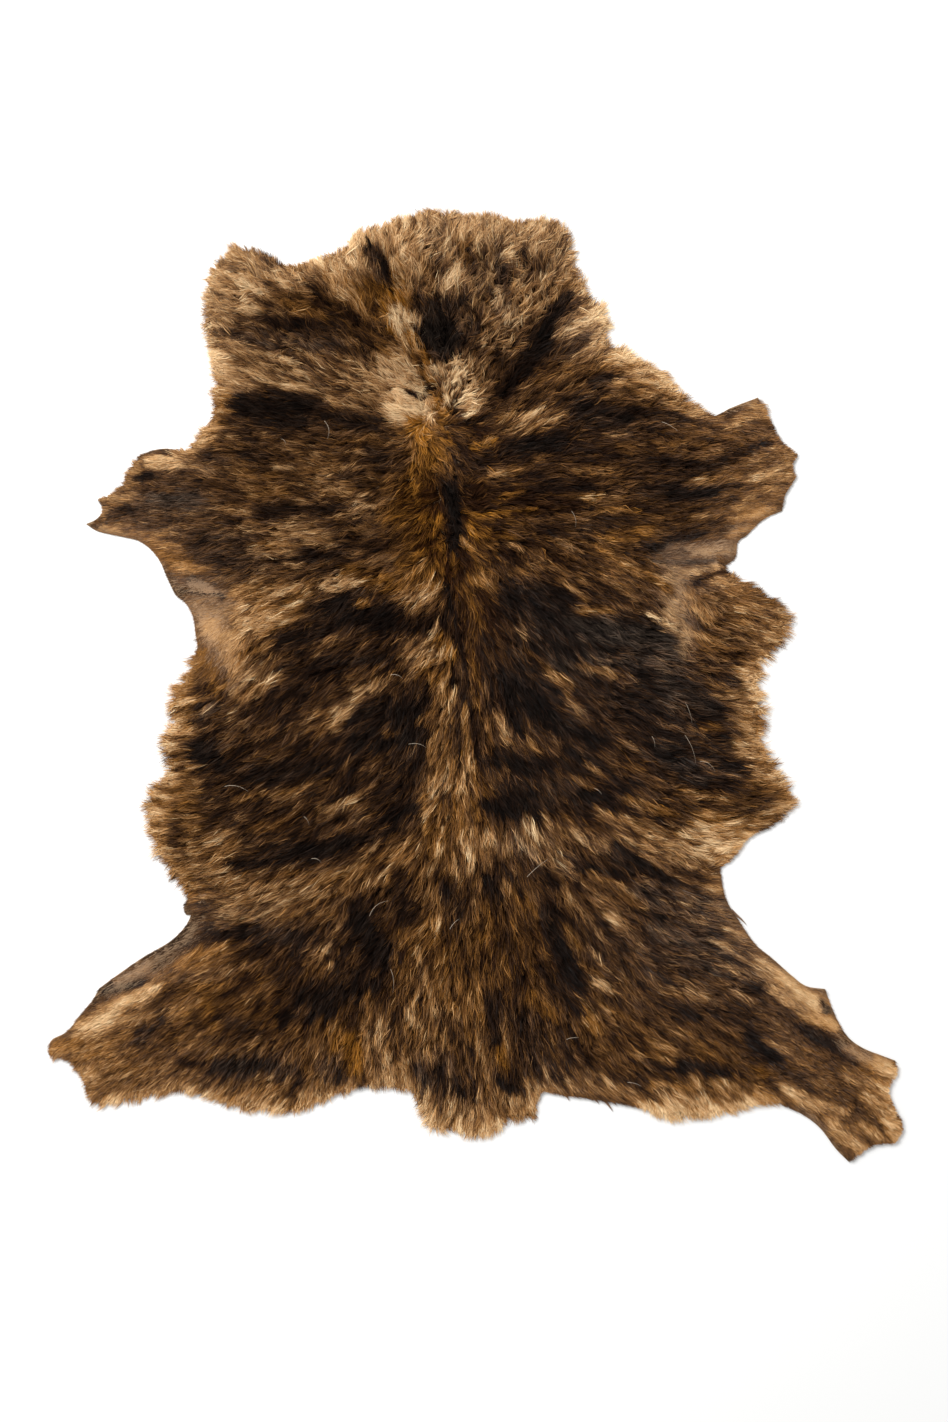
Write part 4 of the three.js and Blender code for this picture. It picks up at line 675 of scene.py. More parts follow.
def rim_charts(rim):
    """How far inside the rim each place lies, the reach and bare margin there, and the way out."""
    x, y = raster(BROAD)
    nearest = np.full(x.shape, 9.0)
    weights, reach, bare = np.zeros(x.shape), np.zeros(x.shape), np.zeros(x.shape)
    inside = np.zeros(x.shape, dtype=bool)
    for i in range(len(rim.x)):
        x0, y0, x1, y1 = rim.x[i], rim.y[i], rim.x[(i + 1) % len(rim.x)], rim.y[(i + 1) % len(rim.x)]
        distance, _ = from_step(x, y, x0, y0, x1, y1)
        weight = 1 / (distance ** 2 + RIM_BLEND ** 2) ** 2
        nearest = np.minimum(nearest, distance)
        weights += weight
        reach += weight * rim.reach[i]
        bare += weight * rim.bare[i]
        if y0 != y1:
            inside ^= ((y0 > y) != (y1 > y)) & (x < (x1 - x0) * (y - y0) / (y1 - y0) + x0)
    inland = np.where(inside, nearest, -nearest)
    out_y, out_x = np.gradient(-blurred(inland, 2.0), BROAD)
    size = np.hypot(out_x, out_y) + 1e-6
    charts = {
        "inland": inland, "reach": reach / weights, "bare": bare / weights,
        "out_x": out_x / size, "out_y": out_y / size,
    }
    return {name: Chart(values, BROAD) for name, values in charts.items()}


def blurred(values, radius):
    """values blurred over so many steps of their raster."""
    rows, columns = values.shape
    wave_y, wave_x = np.fft.fftfreq(rows)[:, None], np.fft.rfftfreq(columns)[None, :]
    fade = np.exp(-2 * (math.pi * radius) ** 2 * (wave_x ** 2 + wave_y ** 2))
    return np.fft.irfft2(np.fft.rfft2(values) * fade, s=values.shape)


def lie_charts():
    """Which way the hair runs, and how loose it is: 0 where it lies flat and 1 where it has no one way."""
    x, y = raster(BROAD)
    weights, right, back = np.zeros(x.shape), np.zeros(x.shape), np.zeros(x.shape)
    for i in range(LIE.rows):
        away = np.hypot(x - hide_x(LIE.across[i]), y - hide_y(LIE.along[i]))
        weight = 1 / (away ** 2 + (LIE_BLEND * MM) ** 2) ** 2
        weights += weight
        right += weight * LIE.right[i]
        back += weight * LIE.back[i]
    size = np.hypot(right, back)
    loose = np.clip(1 - size / weights, 0, 1)
    size += 1e-6 * weights
    charts = {"lie_x": right / size, "lie_y": -back / size, "loose": loose}
    return {name: Chart(values, BROAD) for name, values in charts.items()}


def depth_chart():
    x, y = raster(BROAD)
    weights, depth = np.full(x.shape, 1e-6), np.full(x.shape, 1e-5)
    for i in range(COAT.rows):
        away = np.hypot(x - hide_x(COAT.across[i]), y - hide_y(COAT.along[i]))
        weight = np.exp(-(away / (COAT.spread[i] * MM)) ** 2)
        weights += weight
        depth += weight * COAT.depth[i]
    return Chart(depth / weights * MM, BROAD)


def ends_of(rows, i):
    """Where row i of a table of strokes starts and ends."""
    return hide_x(rows.across[i]), hide_y(rows.along[i]), hide_x(rows.to_across[i]), hide_y(rows.to_along[i])


def bareness_chart(charts):
    """How bare the leather is: from 0 under full coat to 1 where only short sparse hair lies on it."""
    x, y = raster(BROAD)
    inland, bare = charts["inland"].values, charts["bare"].values
    bareness = smooth(1 - (inland - 0.35 * bare) / (0.9 * bare + 1e-5)) * (bare > 1 * MM)
    for i in range(THIN.rows):
        distance, _ = from_step(x, y, *ends_of(THIN, i))
        bareness = np.maximum(bareness, THIN.share[i] * np.exp(-(distance / (THIN.width[i] * MM)) ** 4))
    return Chart(bareness, BROAD)


def roughness_chart(charts):
    """How far the hair clumps in locks: 1 where the coat is deep, less where it is short or sparse."""
    sleek = np.clip(charts["depth"].values / (SHAGGY_COAT * MM), 0.55, 1)
    return Chart(sleek * (1 - 0.8 * charts["bareness"].values), BROAD)


def crease_charts(inland):
    """How far the creases lift the leather, and how far they sink the coat."""
    x, y = raster(BROAD)
    rise = np.zeros(x.shape)
    for i in range(CREASES.rows):
        distance, t = from_step(x, y, *ends_of(CREASES, i))
        fade = np.exp(-(distance / (CREASES.width[i] * MM)) ** 2) * (1 - CREASE_LOSS * t * t)
        rise += CREASES.rise[i] * MM * fade
    lift = np.maximum(0, rise) * smooth(inland.values / CREASE_FADE)
    return {"lift": Chart(lift, BROAD), "sink": Chart(np.maximum(0, -rise), BROAD)}


def streaks(charts, pitch, spread, length, seed):
    """Noise drawn out along the lie of the hair, evened to a spread of 1."""
    x, y = raster(pitch)
    noise = Chart(blurred(np.random.default_rng(seed).normal(size=x.shape), spread / pitch), pitch)
    total = noise.values.copy()
    step = 0.8 * spread
    for way in (1, -1):
        at_x, at_y = x.copy(), y.copy()
        for _ in range(math.ceil(length / 2 / step)):
            along_x, along_y = charts["lie_x"].at(at_x, at_y), charts["lie_y"].at(at_x, at_y)
            at_x += way * step * along_x
            at_y += way * step * along_y
            total += noise.at(at_x, at_y)
    return (total - total.mean()) / total.std()


def marking_charts(charts, settings):
    """The tone and warmth of the coat: the marks with frayed edges, and the brindle's streaks over them."""
    x, y = raster(FINE)
    thick = streaks(charts, FINE, settings.band_width, settings.band_length, settings.seed)
    thin = streaks(charts, FINE, settings.streak_width, settings.streak_length, settings.seed + 1)
    lie_x, lie_y = charts["lie_x"].at(x, y), charts["lie_y"].at(x, y)
    fray = settings.fray * (0.6 * thin + 0.4 * thick)
    at_x, at_y = x + fray * lie_x, y + fray * lie_y
    tone, warmth = np.full(x.shape, GROUND_TONE), np.full(x.shape, GROUND_WARMTH)
    for i in range(MARKS.rows):
        x0, y0, x1, y1 = ends_of(MARKS, i)
        width = MARKS.width[i] * MM
        margin = MARK_FADE * width + 3 * settings.fray
        c0, c1 = (int((v + CHART_HALF_X) / FINE) for v in (min(x0, x1) - margin, max(x0, x1) + margin))
        r0, r1 = (int((v + CHART_HALF_Y) / FINE) for v in (min(y0, y1) - margin, max(y0, y1) + margin))
        here = (slice(max(0, r0), max(0, r1)), slice(max(0, c0), max(0, c1)))
        distance, _ = from_step(at_x[here], at_y[here], x0, y0, x1, y1)
        cover = np.exp(-np.abs(distance / width) ** MARK_EDGE)
        tone[here] += cover * (MARKS.tone[i] / 100 - tone[here])
        warmth[here] += cover * (MARKS.warmth[i] / 100 - warmth[here])
    room = (4 * tone * (1 - tone) + LEAST_ROOM) * charts["roughness"].at(x, y)
    tone = tone + room * (settings.streak_strength * thin + settings.band_strength * thick)
    return {"tone": Chart(np.clip(tone, 0, 1), FINE), "warmth": Chart(np.clip(warmth, -1, 1), FINE)}


def relief_chart(charts, settings):
    """Height of the coat's lying surface over the leather."""
    inland, bare = charts["inland"].values, charts["bare"].values
    haired = np.maximum(0, 2 * smooth(0.5 + (inland - bare) / (2 * RIM_WIDTH)) - 1)
    edge = EDGE_COAT * smooth(1 - bare / CREASE_FADE)
    lumps = streaks(charts, BROAD, settings.lump_width, settings.lump_length, settings.seed + 2)
    coat = np.maximum(LEAST_COAT, charts["depth"].values + settings.lump_rise * lumps - charts["sink"].values)
    return Chart(edge + (coat - edge) * haired, BROAD)


def hide_charts(settings):
    charts = rim_charts(rim_points())
    charts.update(lie_charts())
    charts["depth"] = depth_chart()
    charts["bareness"] = bareness_chart(charts)
    charts["roughness"] = roughness_chart(charts)
    charts.update(crease_charts(charts["inland"]))
    charts["relief"] = relief_chart(charts, settings)
    charts.update(marking_charts(charts, settings))
    return charts


CHARTS = {}
CHART_SETTINGS = [
    "seed", "band_width", "band_length", "band_strength", "streak_width", "streak_length", "streak_strength",
    "fray", "lump_width", "lump_length", "lump_rise",
]


def charts_for(settings):
    """The charts, worked out once for the settings that the operators share."""
    key = [getattr(settings, name) for name in CHART_SETTINGS]
    if CHARTS.get("key") != key:
        CHARTS["key"] = key
        CHARTS["charts"] = hide_charts(settings)
    return CHARTS["charts"]


# Meshes

def mesh_object(name, points, triangles, values, uv, materials, material_index=None):
    """A new object from arrays, with a named value for each point and a flattened layout for its bake."""
    old = bpy.data.objects.get(name)
    if old is not None:
        bpy.data.objects.remove(old)
    mesh = bpy.data.meshes.new(name)
    mesh.vertices.add(len(points))
    mesh.vertices.foreach_set("co", np.ascontiguousarray(points, dtype=np.float32).ravel())
    mesh.loops.add(3 * len(triangles))
    mesh.loops.foreach_set("vertex_index", np.ascontiguousarray(triangles, dtype=np.int32).ravel())
    mesh.polygons.add(len(triangles))
    mesh.polygons.foreach_set("loop_start", np.arange(0, 3 * len(triangles), 3, dtype=np.int32))
    layer = mesh.uv_layers.new(name="OFBake")
    corners = uv[triangles.ravel()] if len(uv) == len(points) else uv
    layer.data.foreach_set("uv", np.ascontiguousarray(corners, dtype=np.float32).ravel())
    for key, row in values.items():
        attribute = mesh.attributes.new(key, "FLOAT", "POINT")
        attribute.data.foreach_set("value", np.ascontiguousarray(row, dtype=np.float32))
    for material in materials:
        mesh.materials.append(material)
    if material_index is not None:
        mesh.polygons.foreach_set("material_index", np.ascontiguousarray(material_index, dtype=np.int32))
    mesh.update(calc_edges=True)
    piece = bpy.data.objects.new(name, mesh)
    bpy.context.scene.collection.objects.link(piece)
    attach(piece, "root")
    return piece


def leather_outline(inset):
    """The leather's own outline: the rim, drawn in where hair reaches past it."""
    rim = rim_points()
    haired = np.clip(rim.reach / LONG_REACH, 0, 1)
    smoothing = np.ones(7) / 7
    haired = np.convolve(np.concatenate([haired[-3:], haired, haired[:3]]), smoothing, mode="valid")
    run_x, run_y = np.roll(rim.x, -1) - np.roll(rim.x, 1), np.roll(rim.y, -1) - np.roll(rim.y, 1)
    size = np.hypot(run_x, run_y)
    return rim.x + inset * haired * run_y / size, rim.y - inset * haired * run_x / size


def leather_arrays(charts, settings):
    """Points, triangles and finishes of the leather: its haired side, its flesh side and its cut edge."""
    edge_x, edge_y = leather_outline(settings.inset)
    count = len(edge_x)
    pitch = settings.pitch
    rows = np.arange(-CHART_HALF_Y, CHART_HALF_Y, pitch * math.sin(math.pi / 3))
    columns = np.arange(-CHART_HALF_X, CHART_HALF_X, pitch)
    x, y = np.meshgrid(columns, rows)
    x[1::2] += pitch / 2
    x, y = x.ravel(), y.ravel()
    drawn_in = settings.inset * np.clip(charts["reach"].at(x, y) / LONG_REACH, 0, 1)
    keep = charts["inland"].at(x, y) - drawn_in > EDGE_ROOM * pitch
    flat = [Vector(p) for p in np.column_stack([np.append(edge_x, x[keep]), np.append(edge_y, y[keep])])]
    made, _, faces, _, _, _ = delaunay_2d_cdt(flat, [], [list(range(count))], 1, 1e-7)
    flat = np.array([tuple(p) for p in made])
    faces = np.array(faces)
    lift = charts["lift"].at(flat[:, 0], flat[:, 1])
    drop = EDGE_DROP * settings.thickness * (np.arange(len(flat)) < count)
    top = np.column_stack([flat, lift + settings.thickness - drop])
    bottom = np.column_stack([flat, lift])
    n = len(flat)
    a, b, c = flat[faces[:, 0]], flat[faces[:, 1]], flat[faces[:, 2]]
    turn = (b[:, 0] - a[:, 0]) * (c[:, 1] - a[:, 1]) - (b[:, 1] - a[:, 1]) * (c[:, 0] - a[:, 0])
    faces[turn < 0] = faces[turn < 0][:, ::-1]
    here = np.arange(count)
    after = (here + 1) % count
    first_sides = np.column_stack([here, after, after + n])
    second_sides = np.column_stack([here, after + n, here + n])
    triangles = np.vstack([faces, faces[:, ::-1] + n, first_sides, second_sides])
    finish = np.concatenate([np.zeros(len(faces)), np.ones(len(faces)), np.full(2 * count, 2)])
    area = 0.5 * np.abs(turn).sum()
    return np.vstack([top, bottom]), triangles, leather_layout(flat, faces, count), finish, area


def leather_layout(flat, faces, count):
    """The leather's flattened layout: haired and flesh side next to each other, its cut edge above them."""
    plan = (flat + [CHART_HALF_X, CHART_HALF_Y]) * (1 / (2 * CHART_HALF_Y))
    upper = plan * [0.49, 0.94]
    lower = upper + [0.5, 0]
    step = np.arange(count) / count
    strip = [np.column_stack([step, np.full(count, v)]) for v in (0.99, 0.96)]
    ahead = [np.column_stack([step + 1 / count, np.full(count, v)]) for v in (0.99, 0.96)]
    sides = np.vstack([
        np.stack([strip[0], ahead[0], ahead[1]], axis=1).reshape(-1, 2),
        np.stack([strip[0], ahead[1], strip[1]], axis=1).reshape(-1, 2),
    ])
    return np.vstack([upper[faces.ravel()], lower[faces[:, ::-1].ravel()], sides])


def even_points(random, pitch):
    """Places about a pitch apart over the whole chart, none of them in line with another."""
    x, y = raster(pitch)
    x = x.ravel() + random.uniform(0, pitch, x.size)
    y = y.ravel() + random.uniform(0, pitch, y.size)
    return x, y


class Locks:
    """Locks on a jittered lattice, each with its own stray, tone and size, which the hairs round it share."""

    def __init__(self, random, pitch):
        self.pitch = pitch
        self.columns = math.ceil(2 * CHART_HALF_X / pitch) + 4
        self.rows = math.ceil(2 * CHART_HALF_Y / pitch) + 4
        column, row = np.meshgrid(np.arange(self.columns), np.arange(self.rows))
        jitter = random.uniform(-LOCK_JITTER, LOCK_JITTER, (2, *column.shape))
        self.x = ((column - 1.5 + jitter[0]) * pitch - CHART_HALF_X).ravel()
        self.y = ((row - 1.5 + jitter[1]) * pitch - CHART_HALF_Y).ravel()
        self.turn, self.shade, self.size = random.normal(size=(3, self.x.size))

    def nearest(self, x, y):
        """Which lock each place belongs to."""
        column = ((x + CHART_HALF_X) / self.pitch + 2).astype(np.int32)
        row = ((y + CHART_HALF_Y) / self.pitch + 2).astype(np.int32)
        best = np.zeros(x.shape, dtype=np.int32)
        least = np.full(x.shape, 9.0)
        for down in (-1, 0, 1):
            for side in (-1, 0, 1):
                r = np.clip(row + down, 0, self.rows - 1)
                c = np.clip(column + side, 0, self.columns - 1)
                lock = r * self.columns + c
                away = (x - self.x[lock]) ** 2 + (y - self.y[lock]) ** 2
                closer = away < least
                best[closer] = lock[closer]
                least[closer] = away[closer]
        return best


def tone_room(tone):
    """How much a hair's tone may vary: most for brown, and least for near-black and cream."""
    return 0.3 + 2.8 * tone * (1 - tone)


def grown_hairs(charts, settings, pitch, low, high, seed):
    """Hairs rooted in the leather: where each starts and ends, and its tone and warmth."""
    random = np.random.default_rng(seed)
    x, y = even_points(random, pitch)
    inland, reach, bareness = charts["inland"].at(x, y), charts["reach"].at(x, y), charts["bareness"].at(x, y)
    edge = settings.root_inset * np.clip(reach / LONG_REACH, 0, 1)
    keep = (inland > edge + LEAST_INLAND) & (random.uniform(size=x.size) > settings.thinning * bareness)
    x, y, inland, reach, bareness = x[keep], y[keep], inland[keep], reach[keep], bareness[keep]
    rough = charts["roughness"].at(x, y)
    small = Locks(np.random.default_rng(settings.seed + 5), settings.lock_pitch)
    large = Locks(np.random.default_rng(settings.seed + 6), settings.lump_lock_pitch)
    fine, coarse = small.nearest(x, y), large.nearest(x, y)

    out_x, out_y = charts["out_x"].at(x, y), charts["out_y"].at(x, y)
    near_rim, haired = smooth(1 - inland / settings.pull_width), np.clip(reach / PULL_REACH, 0, 1)
    pull = settings.outward_pull * near_rim * haired
    way_x, way_y = charts["lie_x"].at(x, y) + pull * out_x, charts["lie_y"].at(x, y) + pull * out_y
    loose = charts["loose"].at(x, y)
    lock_turn = settings.lock_turn + settings.loose_turn * loose
    turn = lock_turn * (small.turn[fine] + 0.8 * large.turn[coarse])
    angle = np.arctan2(way_y, way_x) + turn + settings.hair_turn * random.normal(size=x.size)
    way_x, way_y = np.cos(angle), np.sin(angle)

    length = settings.least_length + settings.length_for_depth * charts["depth"].at(x, y)
    length *= (1 - 0.4 * bareness) * np.clip(1 + 0.2 * small.size[fine] + 0.12 * large.size[coarse], 0.5, 1.5)
    length *= random.uniform(0.75, 1.1, x.size) * (1 - settings.loose_shortening * loose)
    outward = way_x * out_x + way_y * out_y
    tuft = settings.coat_reach + 0.22 * small.size[fine] + 0.22 * large.size[coarse]
    past_rim = np.where(reach > settings.rim_least, reach * np.clip(tuft, -0.9, 0.5), 0.8 * MM)
    room = np.maximum(inland + past_rim, 2 * MM)
    length = np.where(outward > 0.15, np.minimum(length, room / np.maximum(outward, 0.15)), length)
    tip_x, tip_y = x + way_x * length, y + way_y * length
    for locks, mine, share in ((large, coarse, settings.lump_gather), (small, fine, settings.lock_gather)):
        lock_x, lock_y = locks.x[mine] + way_x * length, locks.y[mine] + way_y * length
        close = share * rough * (np.hypot(locks.x[mine] - x, locks.y[mine] - y) < locks.pitch)
        tip_x += close * (lock_x - tip_x)
        tip_y += close * (lock_y - tip_y)

    root_z = settings.leather_thickness + charts["lift"].at(x, y)
    height = charts["relief"].at(tip_x, tip_y) * (1 - 0.75 * bareness)
    height *= np.clip(1 + 0.16 * small.size[fine] + 0.1 * large.size[coarse], 0.5, 1.4)
    past = smooth(-charts["inland"].at(tip_x, tip_y) / (14 * MM))
    tip_z = root_z * (1 - 0.75 * past) + height * random.uniform(low, high, x.size) * (1 - 0.45 * past)
    shared = settings.lock_colour * rough
    seen_x = x + shared * (small.x[fine] - x) + 0.7 * (tip_x - x)
    seen_y = y + shared * (small.y[fine] - y) + 0.7 * (tip_y - y)
    tone = charts["tone"].at(seen_x, seen_y)
    varied = 0.3 + 0.7 * rough
    shade = settings.lock_shade * small.shade[fine] + settings.hair_shade * random.normal(size=x.size)
    tone += tone_room(tone) * varied * shade
    tone += settings.rim_light * (near_rim * haired) * (1 - bareness)
    warmth = charts["warmth"].at(seen_x, seen_y) + 0.12 * random.normal(size=x.size)
    return SimpleNamespace(
        x=x, y=y, z=root_z, tip_x=tip_x, tip_y=tip_y, tip_z=np.maximum(tip_z, 0.8 * MM),
        tone=np.clip(tone, 0, 1), warmth=np.clip(warmth, -1, 1),
        roll=random.uniform(-0.8, 0.8, x.size) * (1 - bareness), curl=random.normal(size=x.size) * 0.05,
        thickness=random.uniform(0.75, 1.25, x.size) * (1 - 0.5 * bareness), paling=varied,
    )


def picked(hairs, mask):
    return SimpleNamespace(**{key: row[mask] for key, row in vars(hairs).items()})


def hair_ribbons(hairs, width, tip_light, bend=0):
    """Each hair as a tapering ribbon, paler at its tip: one triangle, or three where it bends halfway."""
    root = np.column_stack([hairs.x, hairs.y, hairs.z])
    tip = np.column_stack([hairs.tip_x, hairs.tip_y, hairs.tip_z])
    run = tip - root
    size = np.linalg.norm(run, axis=1, keepdims=True) + 1e-9
    way = run / size
    level = np.column_stack([-way[:, 1], way[:, 0], np.zeros(len(way))])
    level /= np.linalg.norm(level, axis=1, keepdims=True) + 1e-9
    upright = np.cross(way, level)
    roll = hairs.roll[:, None]
    side = (np.cos(roll) * level + np.sin(roll) * upright) * (0.5 * width * hairs.thickness[:, None])
    along = [0.0, 0.0]
    points = [root - side, root + side]
    if bend:
        middle = root + 0.5 * run + level * (hairs.curl[:, None] * size)
        middle[:, 2] += bend * np.maximum(run[:, 2], 0.4 * MM)
        points += [middle - 0.85 * side, middle + 0.85 * side]
        along += [0.5, 0.5]
    points.append(tip)
    along.append(1.0)
    per_hair = len(points)
    points = np.stack(points, axis=1).reshape(-1, 3)
    start = np.arange(len(root))[:, None] * per_hair
    shape = [[0, 1, 2]] if per_hair == 3 else [[0, 1, 3], [0, 3, 2], [2, 3, 4]]
    triangles = np.concatenate([start + corners for corners in shape], axis=1).reshape(-1, 3)
    along = np.tile(along, len(root))
    tone = np.repeat(hairs.tone, per_hair)
    warmth = np.repeat(hairs.warmth, per_hair)
    paler = tip_light * np.repeat(hairs.paling, per_hair) * tone_room(tone) * (along - 0.55)
    return points, triangles, {"tone": np.clip(tone + paler, 0, 1), "warmth": warmth, "along": along}


def joined(parts):
    """Several sets of points, triangles and values as one."""
    points = np.vstack([p for p, _, _ in parts])
    offset, triangles = 0, []
    for p, t, _ in parts:
        triangles.append(t + offset)
        offset += len(p)
    values = {key: np.concatenate([v[key] for _, _, v in parts]) for key in parts[0][2]}
    return points, np.vstack(triangles), values


def plan_uv(points):
    """The layout as seen from above, fitted to the piece."""
    low, high = points[:, :2].min(axis=0), points[:, :2].max(axis=0)
    return (points[:, :2] - low) / (high - low).max() * 0.998 + 0.001


# Materials

def linear(colour):
    """A screen colour such as 0xa0b0c0 in linear light."""
    channels = [(colour >> shift & 255) / 255 for shift in (16, 8, 0)]
    return tuple(c / 12.92 if c <= 0.04045 else ((c + 0.055) / 1.055) ** 2.4 for c in channels)


def new_group(name, inputs, outputs):
    """An empty shader node group with these sockets, and its input and output nodes."""
    group =bpy.data.node_groups.new(name, "ShaderNodeTree")
    for label, kind, default in inputs:
        made = group.interface.new_socket(label, in_out="INPUT", socket_type=kind)
        made.default_value = default
    for label, kind in outputs:
        group.interface.new_socket(label, in_out="OUTPUT", socket_type=kind)
    return group, group.nodes.new("NodeGroupInput"), group.nodes.new("NodeGroupOutput")


def mix_colours(nodes, links, share, first, second):
    """A colour between two sockets or colours."""
    node = nodes.new("ShaderNodeMix")
    node.data_type = "RGBA"
    links.new(share, node.inputs["Factor"])
    for socket, value in ((node.inputs[6], first), (node.inputs[7], second)):
        if isinstance(value, bpy.types.NodeSocket):
            links.new(value, socket)
        else:
            socket.default_value = value
    return node.outputs[2]


def ranged(nodes, links, value, low, high, to_low=0.0, to_high=1.0):
    """value between low and high, stretched to another range and held at its ends."""
    node = nodes.new("ShaderNodeMapRange")
    links.new(value, node.inputs["Value"])
    for label, number in (("From Min", low), ("From Max", high), ("To Min", to_low), ("To Max", to_high)):
        node.inputs[label].default_value = number
    return node.outputs["Result"]


def reckoned(nodes, links, operation, first, second):
    node = nodes.new("ShaderNodeMath")
    node.operation = operation
    for socket, value in zip(node.inputs, (first, second)):
        if isinstance(value, bpy.types.NodeSocket):
            links.new(value, socket)
        else:
            socket.default_value = value
    return node.outputs[0]


def coat_colour_group(colours):
    """From near-black through brown and tan to cream by tone, turned to rust or grey by warmth."""
    shades = [
        ("Near black", colours.near_black), ("Dark brown", colours.dark_brown), ("Brown", colours.brown),
        ("Tan", colours.tan), ("Cream", colours.cream), ("Dark rust", colours.dark_rust),
        ("Rust", colours.rust), ("Dark grey", colours.dark_grey), ("Pale grey", colours.pale_grey),
    ]
    inputs = [("Tone", "NodeSocketFloat", 0.5), ("Warmth", "NodeSocketFloat", 0.0)]
    inputs += [(label, "NodeSocketColor", (*shade, 1)) for label, shade in shades]
    group, start, end = new_group("Coat colour", inputs, [("Color", "NodeSocketColor")])
    nodes, links = group.nodes, group.links
    tone, warmth = start.outputs["Tone"], start.outputs["Warmth"]
    colour = start.outputs["Near black"]
    for step, label in enumerate(("Dark brown", "Brown", "Tan", "Cream")):
        share = ranged(nodes, links, tone, step / 4, (step + 1) / 4)
        colour = mix_colours(nodes, links, share, colour, start.outputs[label])
    deep = ranged(nodes, links, tone, 0.1, 0.6)
    rust = mix_colours(nodes, links, deep, start.outputs["Dark rust"], start.outputs["Rust"])
    rust = mix_colours(nodes, links, ranged(nodes, links, tone, 0.6, 1.0), rust, start.outputs["Cream"])
    grey = mix_colours(nodes, links, tone, start.outputs["Dark grey"], start.outputs["Pale grey"])
    warm = mix_colours(nodes, links, ranged(nodes, links, warmth, 0.0, 1.0), colour, rust)
    cool = mix_colours(nodes, links, ranged(nodes, links, warmth, 0.0, -1.0), warm, grey)
    links.new(cool, end.inputs["Color"])
    return group


def mottle_group():
    """Broad and fine unevenness round 1, with the fine part alone as a height for bumps."""
    inputs = [
        ("Broad scale", "NodeSocketFloat", 20.0), ("Fine scale", "NodeSocketFloat", 300.0),
        ("Amount", "NodeSocketFloat", 0.3),
    ]
    outputs = [("Shade", "NodeSocketFloat"), ("Height", "NodeSocketFloat")]
    group, start, end = new_group("Mottle", inputs, outputs)
    nodes, links = group.nodes, group.links
    place = nodes.new("ShaderNodeTexCoord")
    broad, fine = nodes.new("ShaderNodeTexNoise"), nodes.new("ShaderNodeTexNoise")
    for node, label in ((broad, "Broad scale"), (fine, "Fine scale")):
        links.new(place.outputs["Object"], node.inputs["Vector"])
        links.new(start.outputs[label], node.inputs["Scale"])
        node.inputs["Detail"].default_value = 4.0
    both = reckoned(nodes, links, "ADD", broad.outputs["Fac"], fine.outputs["Fac"])
    swing = reckoned(nodes, links, "SUBTRACT", both, 1.0)
    scaled = reckoned(nodes, links, "MULTIPLY", swing, start.outputs["Amount"])
    links.new(reckoned(nodes, links, "ADD", scaled, 1.0), end.inputs["Shade"])
    links.new(fine.outputs["Fac"], end.inputs["Height"])
    return group


def new_material(name):
    old = bpy.data.materials.get(name)
    if old is not None:
        bpy.data.materials.remove(old)
    material = bpy.data.materials.new(name)
    material.use_nodes = True
    tree = material.node_tree
    return material, tree.nodes, tree.links, tree.nodes["Principled BSDF"]


def placed_group(nodes, group, **values):
    node = nodes.new("ShaderNodeGroup")
    node.node_tree = group
    for label, value in values.items():
        node.inputs[label.replace("_", " ")].default_value = value
    return node


def attribute(nodes, name):
    node = nodes.new("ShaderNodeAttribute")
    node.attribute_name = name
    return node.outputs["Fac"]


def shaded(nodes, links, colour, shade):
    """A colour made lighter or darker by a number round 1."""
    node = nodes.new("ShaderNodeVectorMath")
    node.operation = "SCALE"
    links.new(colour, node.inputs[0])
    links.new(shade, node.inputs["Scale"])
    return node.outputs[0]


GRAIN_DEPTH = 0.6 * MM
NAP_DEPTH = 0.5 * MM


def grained(nodes, links, surface, height, gloss, strength, depth):
    """Gives a surface its range of roughness and its fine bumps, both led by one height."""
    links.new(ranged(nodes, links, height, 0.3, 0.7, *gloss), surface.inputs["Roughness"])
    bump = nodes.new("ShaderNodeBump")
    bump.inputs["Strength"].default_value = strength
    bump.inputs["Distance"].default_value = depth
    links.new(height, bump.inputs["Height"])
    links.new(bump.outputs["Normal"], surface.inputs["Normal"])


def hair_material(name, coat_colour, mottle, roughness):
    """Hair: the coat's colour, darkened towards the root by painted shade, with a satin gloss that varies
    from lock to lock.
    """
    material, nodes, links, surface = new_material(name)
    colour = placed_group(nodes, coat_colour)
    links.new(attribute(nodes, "tone"), colour.inputs["Tone"])
    links.new(attribute(nodes, "warmth"), colour.inputs["Warmth"])
    uneven = placed_group(nodes, mottle, Broad_scale=45.0, Fine_scale=420.0, Amount=0.35)
    # Painted shade: the colour darkens to 0.62 of itself at the root, for the shade that falls between the
    # hairs.
    root = ranged(nodes, links, attribute(nodes, "along"), 0.0, 0.55, 0.62, 1.0)
    shade = reckoned(nodes, links, "MULTIPLY", root, uneven.outputs["Shade"])
    links.new(shaded(nodes, links, colour.outputs["Color"], shade), surface.inputs["Base Color"])
    gloss = ranged(nodes, links, uneven.outputs["Height"], 0.3, 0.7, roughness - 0.1, roughness + 0.12)
    links.new(gloss, surface.inputs["Roughness"])
    surface.inputs["Specular IOR Level"].default_value = 0.1
    return material


